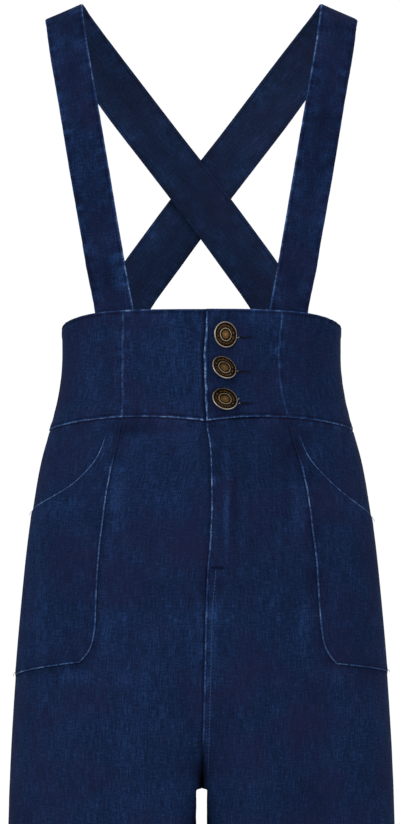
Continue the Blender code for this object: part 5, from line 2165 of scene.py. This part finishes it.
@dataclass
class Buttons:
    """Three stamped shank buttons and the buttonholes that they fasten."""

    form: CutForm
    waist: WaistPanel
    seat: float = 0.6 * MM
    reach: float = 0.008
    sides: int = 72
    ticks: int = 13
    tick_span: float = 62.0
    tick_ring: float = 8.1 * MM
    dot: float = 0.75 * MM
    hole_length: float = 0.0275
    hole_start: float = 0.0100
    hole_drop: float = 1.9 * MM
    # Of each button's pale thread ends: distance from the button's middle, drop and length
    ends: tuple[Table, ...] = (
        ((0.0136, 0.0024, 0.0009), (0.0146, 0.0017, 0.0007)),
        ((0.0140, 0.0014, 0.0010),),
        ((0.0128, -0.0021, 0.0014), (0.0133, 0.0019, 0.0015)),
    )
    # Distance from the lapped edge, height, the swing's turn, the swing and the stamp's turn
    places: Table = (
        (0.0172, -0.3180, 90.0, 28.0, 13.0),
        (0.0163, -0.3501, 135.0, 33.0, -21.0),
        (0.0172, -0.3797, 146.0, 26.0, -32.0),
    )
    shank: float = 2.2 * MM
    swell: float = 1.05
    groove: float = 2.44
    tick_sides: int = 10
    # Each tick's rings: size, rise above the groove in millimetres, how raised
    tick_rings: Table = ((1.0, -0.1, 0.15), (0.9, 0.3, 0.50), (0.5, 0.5, 0.64))
    # The solid head's radius and rise where it can meet the cloth
    head: Table = ((0.0104, 0.0013), (0.0113, 0.0022), (0.0108, 0.0031))
    # Radius and rise above the shank in millimetres, and how raised, or rubbed bright, it is
    profile: Table = (
        (9.8, 1.25, 0.0),
        (10.9, 1.5, 0.0),
        (11.4, 1.9, 0.1),
        (11.6, 2.3, 0.3),
        (11.55, 2.7, 0.72),
        (11.3, 2.98, 1.0),
        (10.95, 3.1, 0.85),
        (10.6, 3.02, 0.35),
        (10.3, 2.8, 0.0),
        (10.1, 2.55, 0.0),
        (9.6, 2.45, 0.13),
        (7.9, 2.42, 0.19),
        (6.5, 2.48, 0.13),
        (6.2, 2.62, 0.1),
        (5.85, 2.92, 0.62),
        (5.5, 3.02, 0.95),
        (5.2, 2.95, 0.45),
        (4.95, 2.7, 0.0),
        (4.6, 2.62, 0.0),
        (4.3, 2.72, 0.12),
        (3.9, 3.0, 0.34),
        (3.3, 3.25, 0.42),
        (2.4, 3.46, 0.46),
        (1.3, 3.58, 0.54),
        (0.5, 3.6, 0.56),
    )

    def build(self, finish: bpy.types.Material) -> None:
        """Build the three buttons."""
        for index, place in enumerate(self.places, start=1):
            piece = self.turned(f"stamped_button_{index}", place)
            settle(piece, finish, f"button_{index}")

    def frame_at(self, place: Sequence[float]) -> tuple[Matrix, float]:
        """Seat a button, leaning, on the lapped front.

        Args:
            place: The row of places that it stands at.

        Returns:
            Its place and facing, and its shank's length.
        """
        x, height, turn, swing, _ = place
        form = self.form
        share = form.share_at(Face.FRONT, height, x)
        lap = float(self.waist.lap(np.array(x)))
        step = self.reach / self.waist.half_round
        shares = np.array((share, share + step, share - step, share, share))
        heights = height + np.array((0.0, 0.0, 0.0, self.reach, -self.reach))
        outs = np.array((lap + self.seat, 0.0, 0.0, 0.0, 0.0))
        spots = form.point(Side.LEFT, Face.FRONT, shares, heights, outs)
        facing = Vector(np.cross(spots[1] - spots[2], spots[3] - spots[4])).normalized()
        angle = math.radians(swing)
        lift = max(radius * math.sin(angle) - rise * math.cos(angle) for radius, rise in self.head)
        lean = Matrix.Rotation(math.radians(turn), 4, "Z") @ Matrix.Rotation(angle, 4, "X")
        turned = facing.to_track_quat("Z", "Y").to_matrix().to_4x4()
        shank = (lift - self.shank * math.sin(angle)) / math.cos(angle)
        return Matrix.Translation(Vector(spots[0]) + facing * lift) @ turned @ lean, shank

    def turned(self, name: str, place: Sequence[float]) -> bpy.types.Object:
        """Turn one button and stamp plain ticks and two dots in its groove.

        Args:
            name: The piece's name.
            place: The row of places that it stands at.

        Returns:
            The piece.
        """
        matrix, shank = self.frame_at(place)
        stem = self.shank / MM
        rows = ((stem, -shank / MM, 0.0), (stem, 1.2, 0.0), *self.profile)
        table = np.asarray(rows) * np.array((self.swell, 1.0, 1.0))
        angle = np.arange(self.sides) * 2.0 * math.pi / self.sides
        rings = np.stack(
            (
                table[:, :1] * np.cos(angle),
                table[:, :1] * np.sin(angle),
                np.broadcast_to(table[:, 1:2], (len(table), self.sides)),
            ),
            axis=-1,
        )
        points = [rings.reshape(-1, 3) * MM]
        raised = [np.repeat(table[:, 2], self.sides)]
        faces = ring_faces(0, len(table), self.sides)
        start = len(table) * self.sides
        around = np.arange(self.tick_sides) * 2.0 * math.pi / self.tick_sides
        swing_turn, stamp_turn = place[2], place[4]
        spread = np.linspace(-self.tick_span, self.tick_span, self.ticks)
        ticks = [
            (turn + 90.0 + half, 0.34, 0.62 + 0.3 * (index % 3 == 0))
            for half in (0.0, 180.0)
            for index, turn in enumerate(spread)
        ]
        ticks += [(half, self.dot / MM, self.dot / MM) for half in (0.0, 180.0)]
        for spot, wide, long in ticks:
            turn = math.radians(spot + stamp_turn - swing_turn)
            out = np.array((math.cos(turn), math.sin(turn), 0.0))
            aside = np.array((-math.sin(turn), math.cos(turn), 0.0))
            for size, rise, bright in self.tick_rings:
                ring = (
                    np.cos(around)[:, None] * out * long * size
                    + np.sin(around)[:, None] * aside * wide * size
                    + np.array((0.0, 0.0, self.groove + rise))
                )
                points.append(out * self.tick_ring * self.swell + ring * MM)
                raised.append(np.full(self.tick_sides, bright))
            faces += ring_faces(start, len(self.tick_rings), self.tick_sides)
            start += len(self.tick_rings) * self.tick_sides
        mesh = bpy.data.meshes.new(name)
        mesh.from_pydata(np.concatenate(points).tolist(), [], faces)
        layer = mesh.attributes.new("raised", "FLOAT", "POINT")
        layer.data.foreach_set("value", np.concatenate(raised).astype(np.float32))
        mesh.transform(matrix)
        mesh.shade_smooth()
        mesh.set_sharp_from_angle(angle=math.radians(50.0))
        return link(name, mesh)

    def sew_holes(self, sewing: Sewing, worn: Sewing) -> None:
        """Sew each buttonhole's dense bar of thread, and the few pale ends at the shank.

        Args:
            sewing: What the dark stitches join.
            worn: What the rubbed stitches join.
        """
        bar = Stitch(length=3.0 * MM, pitch=0.5 * MM, width=0.60 * MM, rise=0.36 * MM)
        up = np.array((0.0, 0.0, 1.0))
        for index, (x, height, _, _, _) in enumerate(self.places):
            ripple = Ripple(81 + index)
            u = x + np.arange(self.hole_start, self.hole_length, bar.pitch)
            v = height - self.hole_drop + 0.35 * MM * ripple.at(u / (3.0 * MM))
            line, normals = self.on_lap(u, v)
            tilt = 0.35 * ripple.at(u / (1.1 * MM), 5.0)[:, None] * np.array((1.0, 0.0, 0.0))
            third = len(u) // 3
            for start, part in ((0, 1.0), (third, 0.8), (2 * third, 0.5)):
                run = slice(start, start + third)
                stitch = replace(bar, length=bar.length * part)
                sewing.lay(line[run], (up + tilt)[run], normals[run], stitch)
            for offset, drop, length in self.ends[index]:
                end = Stitch(length=length, pitch=length, width=0.6 * MM, rise=0.7 * MM)
                spot, normal = self.on_lap(np.array([x + offset]), np.array([height - drop]))
                worn.lay(spot + normal * 0.6 * MM, np.array([[1.0, 0.0, 0.4]]), normal, end)

    def on_lap(self, u: np.ndarray, v: np.ndarray) -> tuple[np.ndarray, np.ndarray]:
        """Return points and outward directions on the lapped front at distances and heights."""
        share = u / self.waist.half_round
        lap = self.waist.lap(u)
        return outward(lambda out: self.form.point(Side.LEFT, Face.FRONT, share, v, out + lap))


# ---------------------------------------------------------------- the studio


@dataclass
class Studio:
    """The floor, the soft light and the camera at the photograph's angle."""

    floor_drop: float = 0.025
    floor_half: float = 12.0
    camera_place: tuple[float, float, float] = (-0.0014, -3.4, -0.644)
    camera_lean: float = 94.4
    frame_height_px: float = 824.0
    focal_px: float = 3587.0
    sensor: float = 36.0

    def build(self, hem: float) -> None:
        """Set up the floor, the lights and the camera."""
        half = self.floor_half
        level = hem - self.floor_drop
        mesh = bpy.data.meshes.new("floor")
        corners = ((-half, -half), (half, -half), (half, half), (-half, half))
        mesh.from_pydata([(x, y, level) for x, y in corners], [], [(0, 1, 2, 3)])
        mesh.materials.append(StudioFloor().make())
        link("floor", mesh)
        world = bpy.data.worlds.new("studio")
        world.use_nodes = True
        background = world.node_tree.nodes["Background"]
        background.inputs["Color"].default_value = (1.0, 1.0, 1.0, 1.0)
        background.inputs["Strength"].default_value = 1.02
        bpy.context.scene.world = world
        bpy.context.scene.view_settings.view_transform = "Standard"
        # Name, place, size, watts
        for name, place, size, power in (
            ("key", (-1.7, -2.6, 0.9), 1.6, 52.0),
            ("fill", (2.2, -2.2, 0.0), 2.0, 22.0),
            ("back", (0.6, 2.6, 0.8), 2.0, 30.0),
        ):
            light = bpy.data.lights.new(name, "AREA")
            light.size = size
            light.energy = power
            lamp = bpy.data.objects.new(name, light)
            lamp.location = place
            aim = Vector((0.0, 0.0, -0.5)) - Vector(place)
            lamp.rotation_euler = aim.to_track_quat("-Z", "Y").to_euler()
            bpy.context.scene.collection.objects.link(lamp)
        camera = bpy.data.cameras.new("camera")
        camera.sensor_fit = "VERTICAL"
        camera.sensor_height = self.sensor
        camera.lens = self.sensor * self.focal_px / self.frame_height_px
        thing = bpy.data.objects.new("camera", camera)
        thing.location = self.camera_place
        thing.rotation_euler = (math.radians(self.camera_lean), 0.0, 0.0)
        bpy.context.scene.collection.objects.link(thing)
        bpy.context.scene.camera = thing


def main() -> None:
    """Dress the garment, sub-assembly by sub-assembly."""
    logging.basicConfig(level=logging.INFO, format="%(name)s: %(message)s")
    form = CutForm()
    wear_and_shade_map = WearAndShadeMap()
    denim = Denim().make()
    strap_denim = Denim(name="edge stitched indigo denim").make()
    thread = Thread().make()
    brass = AntiqueBrass().make()
    waist = WaistPanel(form, wear_and_shade_map)
    braces = Braces(form, waist.wall)
    for index, side in enumerate(Side):
        braces.build(side, strap_denim, 51 + index)
    waist.build(denim)
    pockets = PatchPockets(form, wear_and_shade_map)
    legs = Legs(form, wear_and_shade_map, Creases(), pockets)
    legs.build(denim)
    pockets.build(legs, denim)
    buttons = Buttons(form, waist)
    buttons.build(brass)
    sewing = {name: Sewing(f"stitches_{name}") for name in ("waist", "legs", "pockets", "straps")}
    waist.sew(sewing["waist"])
    legs.sew(sewing["legs"])
    worn, holes, ends = Sewing("stitches_worn"), Sewing("stitches_holes"), Sewing("thread_ends")
    legs.sew_worn(worn)
    buttons.sew_holes(holes, ends)
    settle(worn.build(), Thread(name="rubbed navy thread", colour="#2E4266").make())
    settle(holes.build(), Thread(name="grey navy thread", colour="#0D101A").make())
    settle(ends.build(), Thread(name="pale thread", colour="#9C9CA8").make())
    pockets.sew(legs, sewing["pockets"])
    for side in Side:
        braces.sew(side, sewing["straps"])
    for name, run in sewing.items():
        settle(run.build(), thread)
        LOG.info("%s: %d stitches", run.name, run.count)
    Studio().build(form.hem)


if __name__ == "__main__":
    main()
